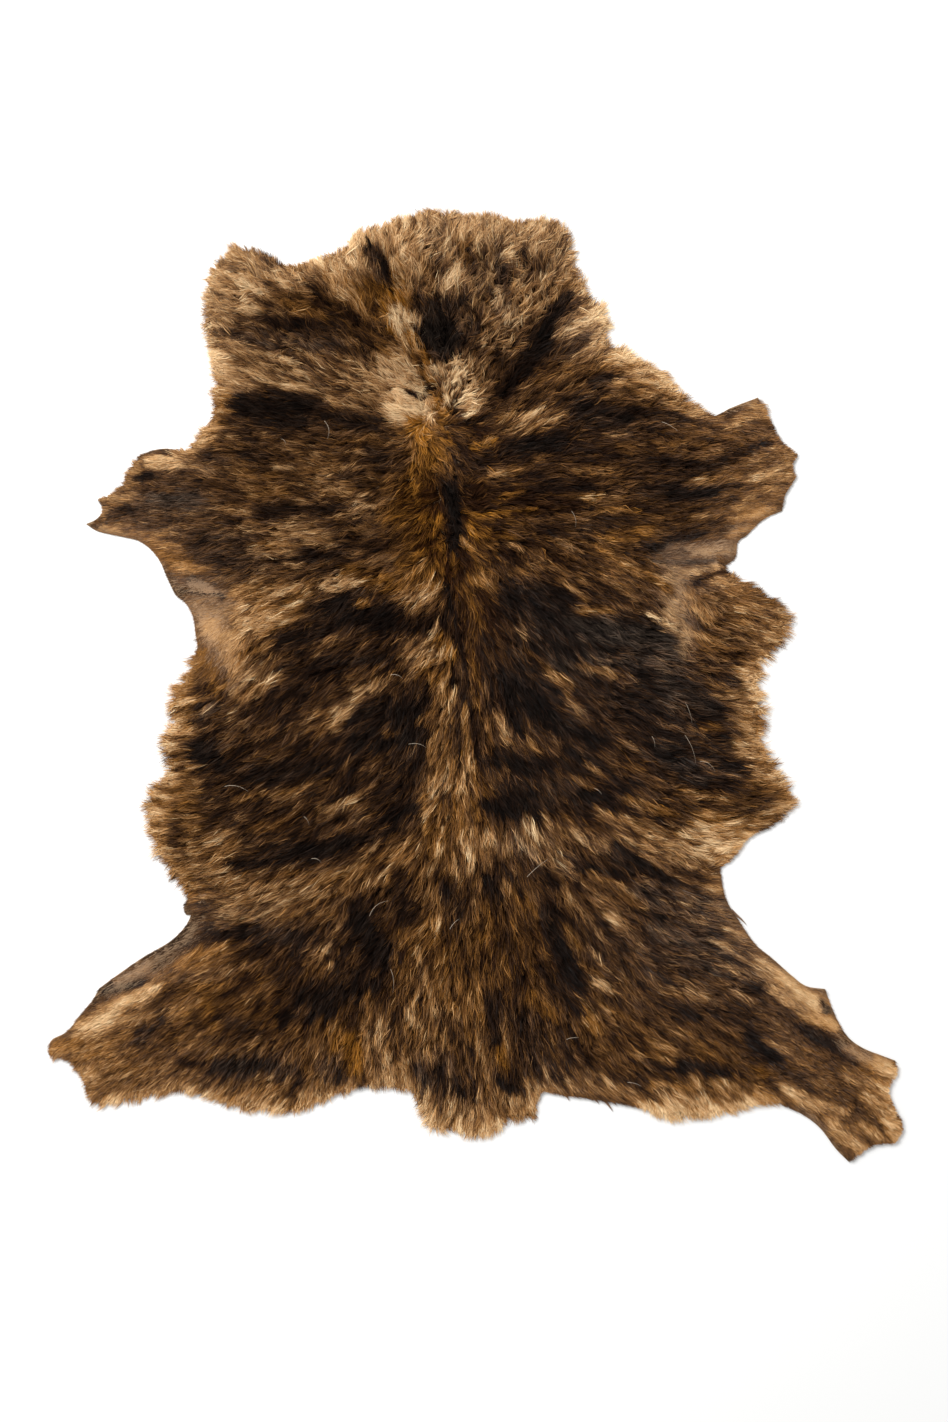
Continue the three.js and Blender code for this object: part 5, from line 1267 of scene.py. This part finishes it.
def leather_material(name, coat_colour, mottle, leather, share, roughness, bump):
    """Skin side of the leather: its own colour under that of the coat, with a fine uneven grain."""
    material, nodes, links, surface = new_material(name)
    colour = placed_group(nodes, coat_colour)
    links.new(attribute(nodes, "tone"), colour.inputs["Tone"])
    links.new(attribute(nodes, "warmth"), colour.inputs["Warmth"])
    uneven = placed_group(nodes, mottle, Broad_scale=28.0, Fine_scale=260.0, Amount=0.25)
    coated = ranged(nodes, links, attribute(nodes, "bareness"), 0, 1, share, 0.6)
    hide = mix_colours(nodes, links, coated, (*leather, 1), colour.outputs["Color"])
    links.new(shaded(nodes, links, hide, uneven.outputs["Shade"]), surface.inputs["Base Color"])
    gloss = (roughness - 0.08, roughness + 0.1)
    grained(nodes, links, surface, uneven.outputs["Height"], gloss, bump, GRAIN_DEPTH)
    surface.inputs["Specular IOR Level"].default_value = 0.3
    return material


def suede_material(name, mottle, colour, roughness, bump):
    """Flesh side and cut edge of the leather: pale nap, darker where it has been handled."""
    material, nodes, links, surface = new_material(name)
    uneven = placed_group(nodes, mottle, Broad_scale=9.0, Fine_scale=700.0, Amount=0.55)
    tint = nodes.new("ShaderNodeRGB")
    tint.outputs[0].default_value = (*colour, 1)
    links.new(shaded(nodes, links, tint.outputs[0], uneven.outputs["Shade"]), surface.inputs["Base Color"])
    gloss = (roughness - 0.06, roughness + 0.06)
    grained(nodes, links, surface, uneven.outputs["Height"], gloss, bump, NAP_DEPTH)
    return material


def made_once(kind, name, make):
    """A group or material that an earlier operator has made, or a new one."""
    return kind.get(name) or make()


def shared_groups(scene):
    coat = made_once(bpy.data.node_groups, "Coat colour", lambda: coat_colour_group(scene.hide_colours))
    return coat, made_once(bpy.data.node_groups, "Mottle", mottle_group)


# Settings that a user would change

def length_property(name, description, default, low=0.0, high=1.0):
    return bpy.props.FloatProperty(name=name, description=description, default=default, min=low, max=high,
                                   precision=4, unit="LENGTH")


def colour_property(name, description, colour):
    return bpy.props.FloatVectorProperty(name=name, description=description, default=linear(colour), size=3,
                                         min=0.0, max=1.0, subtype="COLOR")


def number_property(name, description, default, low, high):
    return bpy.props.FloatProperty(name=name, description=description, default=default, min=low, max=high)


def angle_property(name, description, default):
    return bpy.props.FloatProperty(name=name, description=description, default=default, subtype="ANGLE")


class LeatherSizes(bpy.types.PropertyGroup):
    thickness: length_property("Thickness", "Thickness of the leather", 2 * MM, 1 * MM, 3 * MM)
    pitch: length_property("Pitch", "Distance between the points of its mesh", 6 * MM, 3 * MM, 20 * MM)
    inset: length_property("Inset", "How far it ends inside the rim where long hair reaches past it", 5 * MM)


class CoatSizes(bpy.types.PropertyGroup):
    seed: bpy.props.IntProperty(name="Seed", description="Start of the random numbers", default=11, min=0)
    leather_thickness: length_property("Root height", "Height of the leather that the hairs stand on", 2 * MM)
    root_inset: length_property("Root inset", "How far inside a haired rim the first hairs stand", 5 * MM)
    under_pitch: length_property("Under-hair pitch", "Distance between under-hairs", 1.06 * MM, 0.8 * MM)
    guard_pitch: length_property("Guard hair pitch", "Distance between guard hairs", 2.0 * MM, 1.2 * MM)
    under_width: length_property("Under-hair width", "Width of an under-hair at its root", 1.05 * MM)
    guard_width: length_property("Guard hair width", "Width of a guard hair at its root", 0.8 * MM)
    rim_pitch: length_property("Rim hair pitch", "Distance between loose hairs", 0.85 * MM, 0.8 * MM)
    rim_width: length_property("Rim hair width", "Width of a loose hair at its root", 0.72 * MM)
    rim_depth: length_property("Rim hair depth", "How far inside the rim the loose hairs are rooted", 13 * MM)
    rim_least: length_property("Least reach", "Reach below which a rim has no loose hair", 3.5 * MM)
    tuft_pitch: length_property("Tuft pitch", "Distance between the tufts of loose hair", 6 * MM, 2 * MM)
    tuft_gather: number_property("Tuft gather", "How much loose hairs close up to their tuft", 0.8, 0, 1)
    rim_fade: number_property("Rim fade", "How few of a tuft's hairs end well before its tip", 0.65, 0.3, 5)
    coat_reach: number_property("Coat reach", "Share of the reach that the lying coat has", -0.4, -1, 1)
    least_length: length_property("Least length", "Length of hair where the coat has no depth", 4 * MM)
    length_for_depth: number_property("Length for depth", "Hair length for each unit of depth", 0.85, 0, 5)
    thinning: number_property("Thinning", "Share of the hairs missing on the bare margins", 0.6, 0, 1)
    outward_pull: number_property("Outward pull", "How much hair at the rim turns outwards", 0.9, 0, 5)
    pull_width: length_property("Pull width", "How far in from the rim hair turns outwards", 22 * MM)
    lock_pitch: length_property("Lock pitch", "Distance between small locks", 3.8 * MM, 2 * MM)
    lock_gather: number_property("Lock gather", "How much hairs close up to their lock's tip", 0.65, 0, 1)
    lock_colour: number_property("Lock colour", "How much hairs share the colour of their lock", 0.45, 0, 1)
    lump_lock_pitch: length_property("Large lock pitch", "Distance between large locks", 17 * MM, 5 * MM)
    lump_gather: number_property("Large lock gather", "How much hairs close up to a large lock", 0.16, 0, 1)
    lock_turn: angle_property("Lock turn", "How far locks stray from the lie", 0.1)
    hair_turn: angle_property("Hair turn", "How far hairs stray from their lock", 0.09)
    loose_turn: angle_property("Loose turn", "How far locks stray where the coat stands up", 0.9)
    loose_shortening: number_property("Loose shortening", "Share lost where the coat stands up", 0.5, 0, 1)
    lock_shade: number_property("Lock shade", "How much the tone varies from lock to lock", 0.045, 0, 1)
    hair_shade: number_property("Hair shade", "How much the tone varies from hair to hair", 0.12, 0, 1)
    tip_light: number_property("Tip light", "How much paler a hair's tip is than its root", 0.18, 0, 1)
    rim_light: number_property("Rim light", "How much paler hair is that stands out past the rim", 0.07, 0, 1)
    band_width: length_property("Band width", "Width of the brindle's bands", 3.2 * MM, 1 * MM)
    band_length: length_property("Band length", "Length of the brindle's bands", 26 * MM, 5 * MM)
    band_strength: number_property("Band strength", "How much the bands change the tone", 0.055, 0, 1)
    streak_width: length_property("Streak width", "Width of the brindle's streaks", 1.3 * MM, 1 * MM)
    streak_length: length_property("Streak length", "Length of the brindle's streaks", 16 * MM, 5 * MM)
    streak_strength: number_property("Streak strength", "How much the streaks change the tone", 0.072, 0, 1)
    fray: length_property("Fray", "How far the edge of a marking frays along the hair", 4 * MM)
    lump_width: length_property("Lump width", "Width of the coat's lumps", 9 * MM, 3 * MM)
    lump_length: length_property("Lump length", "Length of the coat's lumps", 60 * MM, 5 * MM)
    lump_rise: length_property("Lump rise", "How far the coat's lumps rise and sink", 1.6 * MM)


class HideColours(bpy.types.PropertyGroup):
    near_black: colour_property("Near black", "Darkest hair", 0x0B0705)
    dark_brown: colour_property("Dark brown", "Hair at a quarter of the tone", 0x2E1F17)
    brown: colour_property("Brown", "Hair at half the tone", 0x6C4D36)
    tan: colour_property("Tan", "Hair at three quarters of the tone", 0xC99A66)
    cream: colour_property("Cream", "Palest hair", 0xFFE0AE)
    dark_rust: colour_property("Dark rust", "Warm hair, dark", 0x3A1E09)
    rust: colour_property("Rust", "Warm hair, light", 0xC6832C)
    dark_grey: colour_property("Dark grey", "Cool hair, dark", 0x211814)
    pale_grey: colour_property("Pale grey", "Cool hair, light", 0xC6B39C)
    leather: colour_property("Leather", "Skin side of the leather", 0xB08E68)
    suede: colour_property("Suede", "Flesh side of the leather", 0xC9B08E)
    cut_edge: colour_property("Cut edge", "Cut edge of the leather", 0x7A5C45)
    stray: colour_property("Stray hair", "Single pale hairs on the coat", 0xB9A893)


class StageSettings(bpy.types.PropertyGroup):
    floor_size: length_property("Floor size", "Side of the floor", 14.0, 2.0, 100.0)
    floor_colour: colour_property("Floor", "Colour of the floor", 0xF7F7F6)
    sky: number_property("Sky", "Strength of the light from all round", 0.6, 0, 10)
    key_power: number_property("Key light", "Power of the large light, in watts", 85.0, 0, 1000)
    view_width: length_property("View width", "Width of floor that the camera sees", 0.948, 0.1, 5.0)
    view_height: length_property("View height", "Length of floor that the camera sees", 1.422, 0.1, 5.0)
    lens: bpy.props.FloatProperty(name="Lens", description="Focal length", default=100.0, unit="CAMERA")


# The photograph's frame is 948 by 1422 pixels of a millimetre each, and this place is at its middle.
VIEW_ACROSS = 474
VIEW_ALONG = 711

FLOOR_DROP = 0.4 * MM  # how far the floor lies under the hide, so that their faces never meet
KEY_SIZE = (1.8, 1.2)
KEY_PLACE = (-1.2, 1.3, 2.2)


class HIDE_OT_leather(bpy.types.Operator):
    """Make the leather: one thin sheet cut to the hide's outline, with its creases"""

    bl_idname = "hide.leather"
    bl_label = "Leather"

    def execute(self, context):
        scene = context.scene
        sizes, colours = scene.hide_leather, scene.hide_colours
        charts = charts_for(scene.hide_coat)
        coat, mottle = shared_groups(scene)
        points, triangles, uv, finish, area = leather_arrays(charts, sizes)
        x, y = points[:, 0], points[:, 1]
        values = {name: charts[name].at(x, y) for name in ("tone", "warmth", "bareness")}
        materials = [
            leather_material(
                "Skin side", coat, mottle, colours.leather, share=0.75, roughness=0.55, bump=0.5),
            suede_material("Flesh side", mottle, colours.suede, roughness=0.85, bump=0.6),
            suede_material("Cut edge", mottle, colours.cut_edge, roughness=0.8, bump=0.5),
        ]
        leather = mesh_object("leather", points, triangles, values, uv, materials, finish)
        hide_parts("pelt")
        scene["hide_leather_area"] = area
        return {"FINISHED"}


class HIDE_OT_coat(bpy.types.Operator):
    """Make the coat in parts: under-hair and guard hair that lie along the hide, gathered in locks"""

    bl_idname = "hide.coat"
    bl_label = "Coat"

    def execute(self, context):
        scene = context.scene
        sizes = scene.hide_coat
        charts = charts_for(sizes)
        under = grown_hairs(charts, sizes, sizes.under_pitch, low=0.25, high=0.85, seed=sizes.seed + 10)
        guard = grown_hairs(charts, sizes, sizes.guard_pitch, low=0.55, high=1.1, seed=sizes.seed + 11)
        material = hair_material("Coat hair", *shared_groups(scene), roughness=0.5)
        middles = np.array([(hide_x(across), hide_y(along)) for _, across, along in COAT_PARTS])

        def part_of(hairs):
            return np.argmin([np.hypot(hairs.x - x, hairs.y - y) for x, y in middles], axis=0)

        under_part, guard_part = part_of(under), part_of(guard)
        for i, (name, _, _) in enumerate(COAT_PARTS):
            points, triangles, values = joined([
                hair_ribbons(picked(under, under_part == i), sizes.under_width, sizes.tip_light),
                hair_ribbons(picked(guard, guard_part == i), sizes.guard_width, sizes.tip_light, bend=0.2),
            ])
            mesh_object(name, points, triangles, values, plan_uv(points), [material])
        return {"FINISHED"}


class HIDE_OT_rim_hair(bpy.types.Operator):
    """Make the loose hair that stands out past the haired stretches of the rim"""

    bl_idname = "hide.rim_hair"
    bl_label = "Rim hair"

    def execute(self, context):
        scene = context.scene
        sizes = scene.hide_coat
        charts = charts_for(sizes)
        hairs = grown_hairs(charts, sizes, sizes.rim_pitch, low=0.3, high=1.0, seed=sizes.seed + 12)
        reach = charts["reach"].at(hairs.x, hairs.y)
        inland = charts["inland"].at(hairs.x, hairs.y)
        keep = (inland < sizes.rim_depth) & (reach > sizes.rim_least)
        hairs, reach, inland = picked(hairs, keep), reach[keep], inland[keep]
        random = np.random.default_rng(sizes.seed + 13)
        x, y = hairs.x, hairs.y
        out_x, out_y = charts["out_x"].at(x, y), charts["out_y"].at(x, y)
        tufts = Locks(np.random.default_rng(sizes.seed + 14), sizes.tuft_pitch)
        mine = tufts.nearest(x, y)
        way_x, way_y = hairs.tip_x - x + 0.8 * MM * out_x, hairs.tip_y - y + 0.8 * MM * out_y
        angle = np.arctan2(way_y, way_x) + TUFT_TURN * tufts.turn[mine]
        way_x, way_y = np.cos(angle), np.sin(angle)
        outward = np.maximum(way_x * out_x + way_y * out_y, 0.5)
        tuft_x, tuft_y = tufts.x[mine], tufts.y[mine]
        longest = TUFT_REACH + TUFT_SPREAD * np.clip(tufts.size[mine], -1, 1)
        share = longest - HAIR_SPREAD * random.uniform(size=x.size) ** sizes.rim_fade

        def tips_from(from_x, from_y, from_inland):
            length = np.clip((from_inland + reach * share) / outward, 3 * MM, from_inland + sizes.rim_depth)
            return from_x + way_x * length, from_y + way_y * length

        own_x, own_y = tips_from(x, y, inland)
        shared_x, shared_y = tips_from(tuft_x, tuft_y, np.maximum(charts["inland"].at(tuft_x, tuft_y), 0))
        close = sizes.tuft_gather * (np.hypot(tuft_x - x, tuft_y - y) < sizes.tuft_pitch)
        hairs.tip_x = own_x + close * (shared_x - own_x)
        hairs.tip_y = own_y + close * (shared_y - own_y)
        hairs.tip_z = np.maximum(hairs.tip_z * random.uniform(0.3, 1.0, x.size), 1 * MM)
        points, triangles, values = hair_ribbons(hairs, sizes.rim_width, sizes.tip_light, bend=0.3)
        material = hair_material("Rim hair", *shared_groups(scene), roughness=0.5)
        mesh_object("rim_hair", points, triangles, values, plan_uv(points), [material])
        return {"FINISHED"}


class HIDE_OT_stray_hairs(bpy.types.Operator):
    """Make the single pale hairs that lie across the coat, and the shreds left by the knife"""

    bl_idname = "hide.stray_hairs"
    bl_label = "Stray hairs and shreds"

    def execute(self, context):
        scene = context.scene
        sizes = scene.hide_coat
        charts = charts_for(sizes)
        parts = []
        for i in range(STRAYS.rows):
            t = np.linspace(0, 1, 9)
            x = hide_x(STRAYS.across[i] + t * (STRAYS.to_across[i] - STRAYS.across[i]))
            y = hide_y(STRAYS.along[i] + t * (STRAYS.to_along[i] - STRAYS.along[i]))
            run = np.array([x[-1] - x[0], y[-1] - y[0]])
            bow = STRAYS.bow[i] * MM * 4 * t * (1 - t)
            side = np.array([-run[1], run[0]]) / np.linalg.norm(run)
            x, y = x + bow * side[0], y + bow * side[1]
            z = sizes.leather_thickness + charts["relief"].at(x, y) * 1.05 + STRAY_RISE * 4 * t * (1 - t)
            width = STRAY_WIDTH * np.sqrt(1 - 0.85 * t)
            left = np.column_stack([x + width * side[0], y + width * side[1], z])
            right = np.column_stack([x - width * side[0], y - width * side[1], z + 0.2 * MM])
            points = np.stack([left, right], axis=1).reshape(-1, 3)
            start = 2 * np.arange(len(t) - 1)[:, None]
            triangles = np.concatenate([start + [0, 1, 3], start + [0, 3, 2]], axis=1).reshape(-1, 3)
            parts.append((points, triangles, {"along": np.repeat(t, 2)}))
        points, triangles, values = joined(parts)
        mottle = shared_groups(scene)[1]
        pale = suede_material("Stray hair", mottle, scene.hide_colours.stray, roughness=0.45, bump=0.1)
        mesh_object("stray_hairs", points, triangles, values, plan_uv(points), [pale])
        self.make_shreds(scene, charts)
        return {"FINISHED"}

    def make_shreds(self, scene, charts):
        """Each shred is a thin four-sided point of leather that curls up a little at its tip."""
        thickness = scene.hide_leather.thickness
        parts = []
        for i in range(SHREDS.rows):
            t = np.linspace(0, 1, 6)
            ends = np.array(ends_of(SHREDS, i))
            root, run = ends[:2], ends[2:] - ends[:2]
            side = np.array([-run[1], run[0]]) / np.linalg.norm(run)
            middle = root + t[:, None] * run + side * (1.2 * MM * np.sin(3 * t) * t)[:, None]
            half = (0.5 * SHREDS.width[i] * MM * (1 - t) ** 0.8)[:, None]
            lift = 1.5 * MM * t ** 2
            corners = []
            for way, up in ((1, 0.0), (1, 1.0), (-1, 1.0), (-1, 0.0)):
                height = 0.1 * MM + lift + up * thickness * (1 - 0.7 * t)
                corners.append(np.column_stack([middle + way * half * side, height]))
            points = np.stack(corners, axis=1).reshape(-1, 3)
            triangles = []
            for step in range(len(t) - 1):
                for corner in range(4):
                    a, b = 4 * step + corner, 4 * step + (corner + 1) % 4
                    triangles += [(a, b, b + 4), (a, b + 4, a + 4)]
            parts.append((points, np.array(triangles), {"along": np.repeat(t, 4)}))
        points, triangles, values = joined(parts)
        mottle = shared_groups(scene)[1]
        dry = suede_material("Shred", mottle, scene.hide_colours.cut_edge, roughness=0.75, bump=0.4)
        mesh_object("shreds", points, triangles, values, plan_uv(points), [dry])


class HIDE_OT_stage(bpy.types.Operator):
    """Make the pale floor, the soft light and the camera that looks straight down on the hide"""

    bl_idname = "hide.stage"
    bl_label = "Stage"

    def execute(self, context):
        scene = context.scene
        settings = scene.hide_stage
        half = settings.floor_size / 2
        mesh = bpy.data.meshes.new("floor")
        corners = [(half * x, half * y, -FLOOR_DROP) for x, y in ((-1, -1), (1, -1), (1, 1), (-1, 1))]
        mesh.from_pydata(corners, [], [(0, 1, 2, 3)])
        material, _, _, surface = new_material("Floor")
        surface.inputs["Base Color"].default_value = (*settings.floor_colour, 1)
        surface.inputs["Roughness"].default_value = 0.9
        surface.inputs["Specular IOR Level"].default_value = 0.0
        mesh.materials.append(material)
        floor = bpy.data.objects.new("floor", mesh)
        scene.collection.objects.link(floor)

        world = bpy.data.worlds.new("Studio")
        world.use_nodes = True
        sky = world.node_tree.nodes["Background"]
        sky.inputs["Color"].default_value = (1, 1, 1, 1)
        sky.inputs["Strength"].default_value = settings.sky
        scene.world = world

        key = bpy.data.lights.new("key", "AREA")
        key.shape = "RECTANGLE"
        key.size, key.size_y = KEY_SIZE
        key.energy = settings.key_power
        lamp = bpy.data.objects.new("key", key)
        lamp.location = KEY_PLACE
        lamp.rotation_euler = (Vector((0, 0, 0)) - lamp.location).to_track_quat("-Z", "Y").to_euler()
        scene.collection.objects.link(lamp)

        camera = bpy.data.cameras.new("camera")
        camera.sensor_width = 36.0
        camera.lens = settings.lens
        away = settings.view_height * settings.lens / camera.sensor_width
        camera.clip_start, camera.clip_end = 0.1, 100.0
        eye = bpy.data.objects.new("camera", camera)
        eye.location = (hide_x(VIEW_ACROSS), hide_y(VIEW_ALONG), away)
        scene.collection.objects.link(eye)
        scene.camera = eye
        scene.view_settings.view_transform = "Standard"
        return {"FINISHED"}


class HIDE_PT_panel(bpy.types.Panel):
    """The hide's settings and the operators that make it"""

    bl_idname = "HIDE_PT_panel"
    bl_label = "Hide"
    bl_space_type = "VIEW_3D"
    bl_region_type = "UI"
    bl_category = "Hide"

    def draw(self, context):
        for title, group, operators in PANEL_PARTS:
            box = self.layout.box()
            box.label(text=title)
            settings = getattr(context.scene, group)
            for key in settings.bl_rna.properties.keys():
                if key not in ("rna_type", "name"):
                    box.prop(settings, key)
            for operator in operators:
                box.operator(operator.bl_idname)


PANEL_PARTS = [
    ("Leather", "hide_leather", [HIDE_OT_leather]),
    ("Coat", "hide_coat", [HIDE_OT_coat, HIDE_OT_rim_hair, HIDE_OT_stray_hairs]),
    ("Colours", "hide_colours", []),
    ("Stage", "hide_stage", [HIDE_OT_stage]),
]

CLASSES = [
    LeatherSizes, CoatSizes, HideColours, StageSettings, HIDE_OT_leather, HIDE_OT_coat, HIDE_OT_rim_hair,
    HIDE_OT_stray_hairs, HIDE_OT_stage, HIDE_PT_panel,
]

SETTINGS = [
    ("hide_leather", LeatherSizes), ("hide_coat", CoatSizes), ("hide_colours", HideColours),
    ("hide_stage", StageSettings),
]


def register():
    for item in CLASSES:
        bpy.utils.register_class(item)
    for name, group in SETTINGS:
        setattr(bpy.types.Scene, name, bpy.props.PointerProperty(type=group))


def unregister():
    for name, _ in SETTINGS:
        delattr(bpy.types.Scene, name)
    for item in reversed(CLASSES):
        bpy.utils.unregister_class(item)


def main():
    register()
    bpy.ops.hide.leather()
    bpy.ops.hide.coat()
    bpy.ops.hide.rim_hair()
    bpy.ops.hide.stray_hairs()
    bpy.ops.hide.stage()


if __name__ == "__main__":
    main()
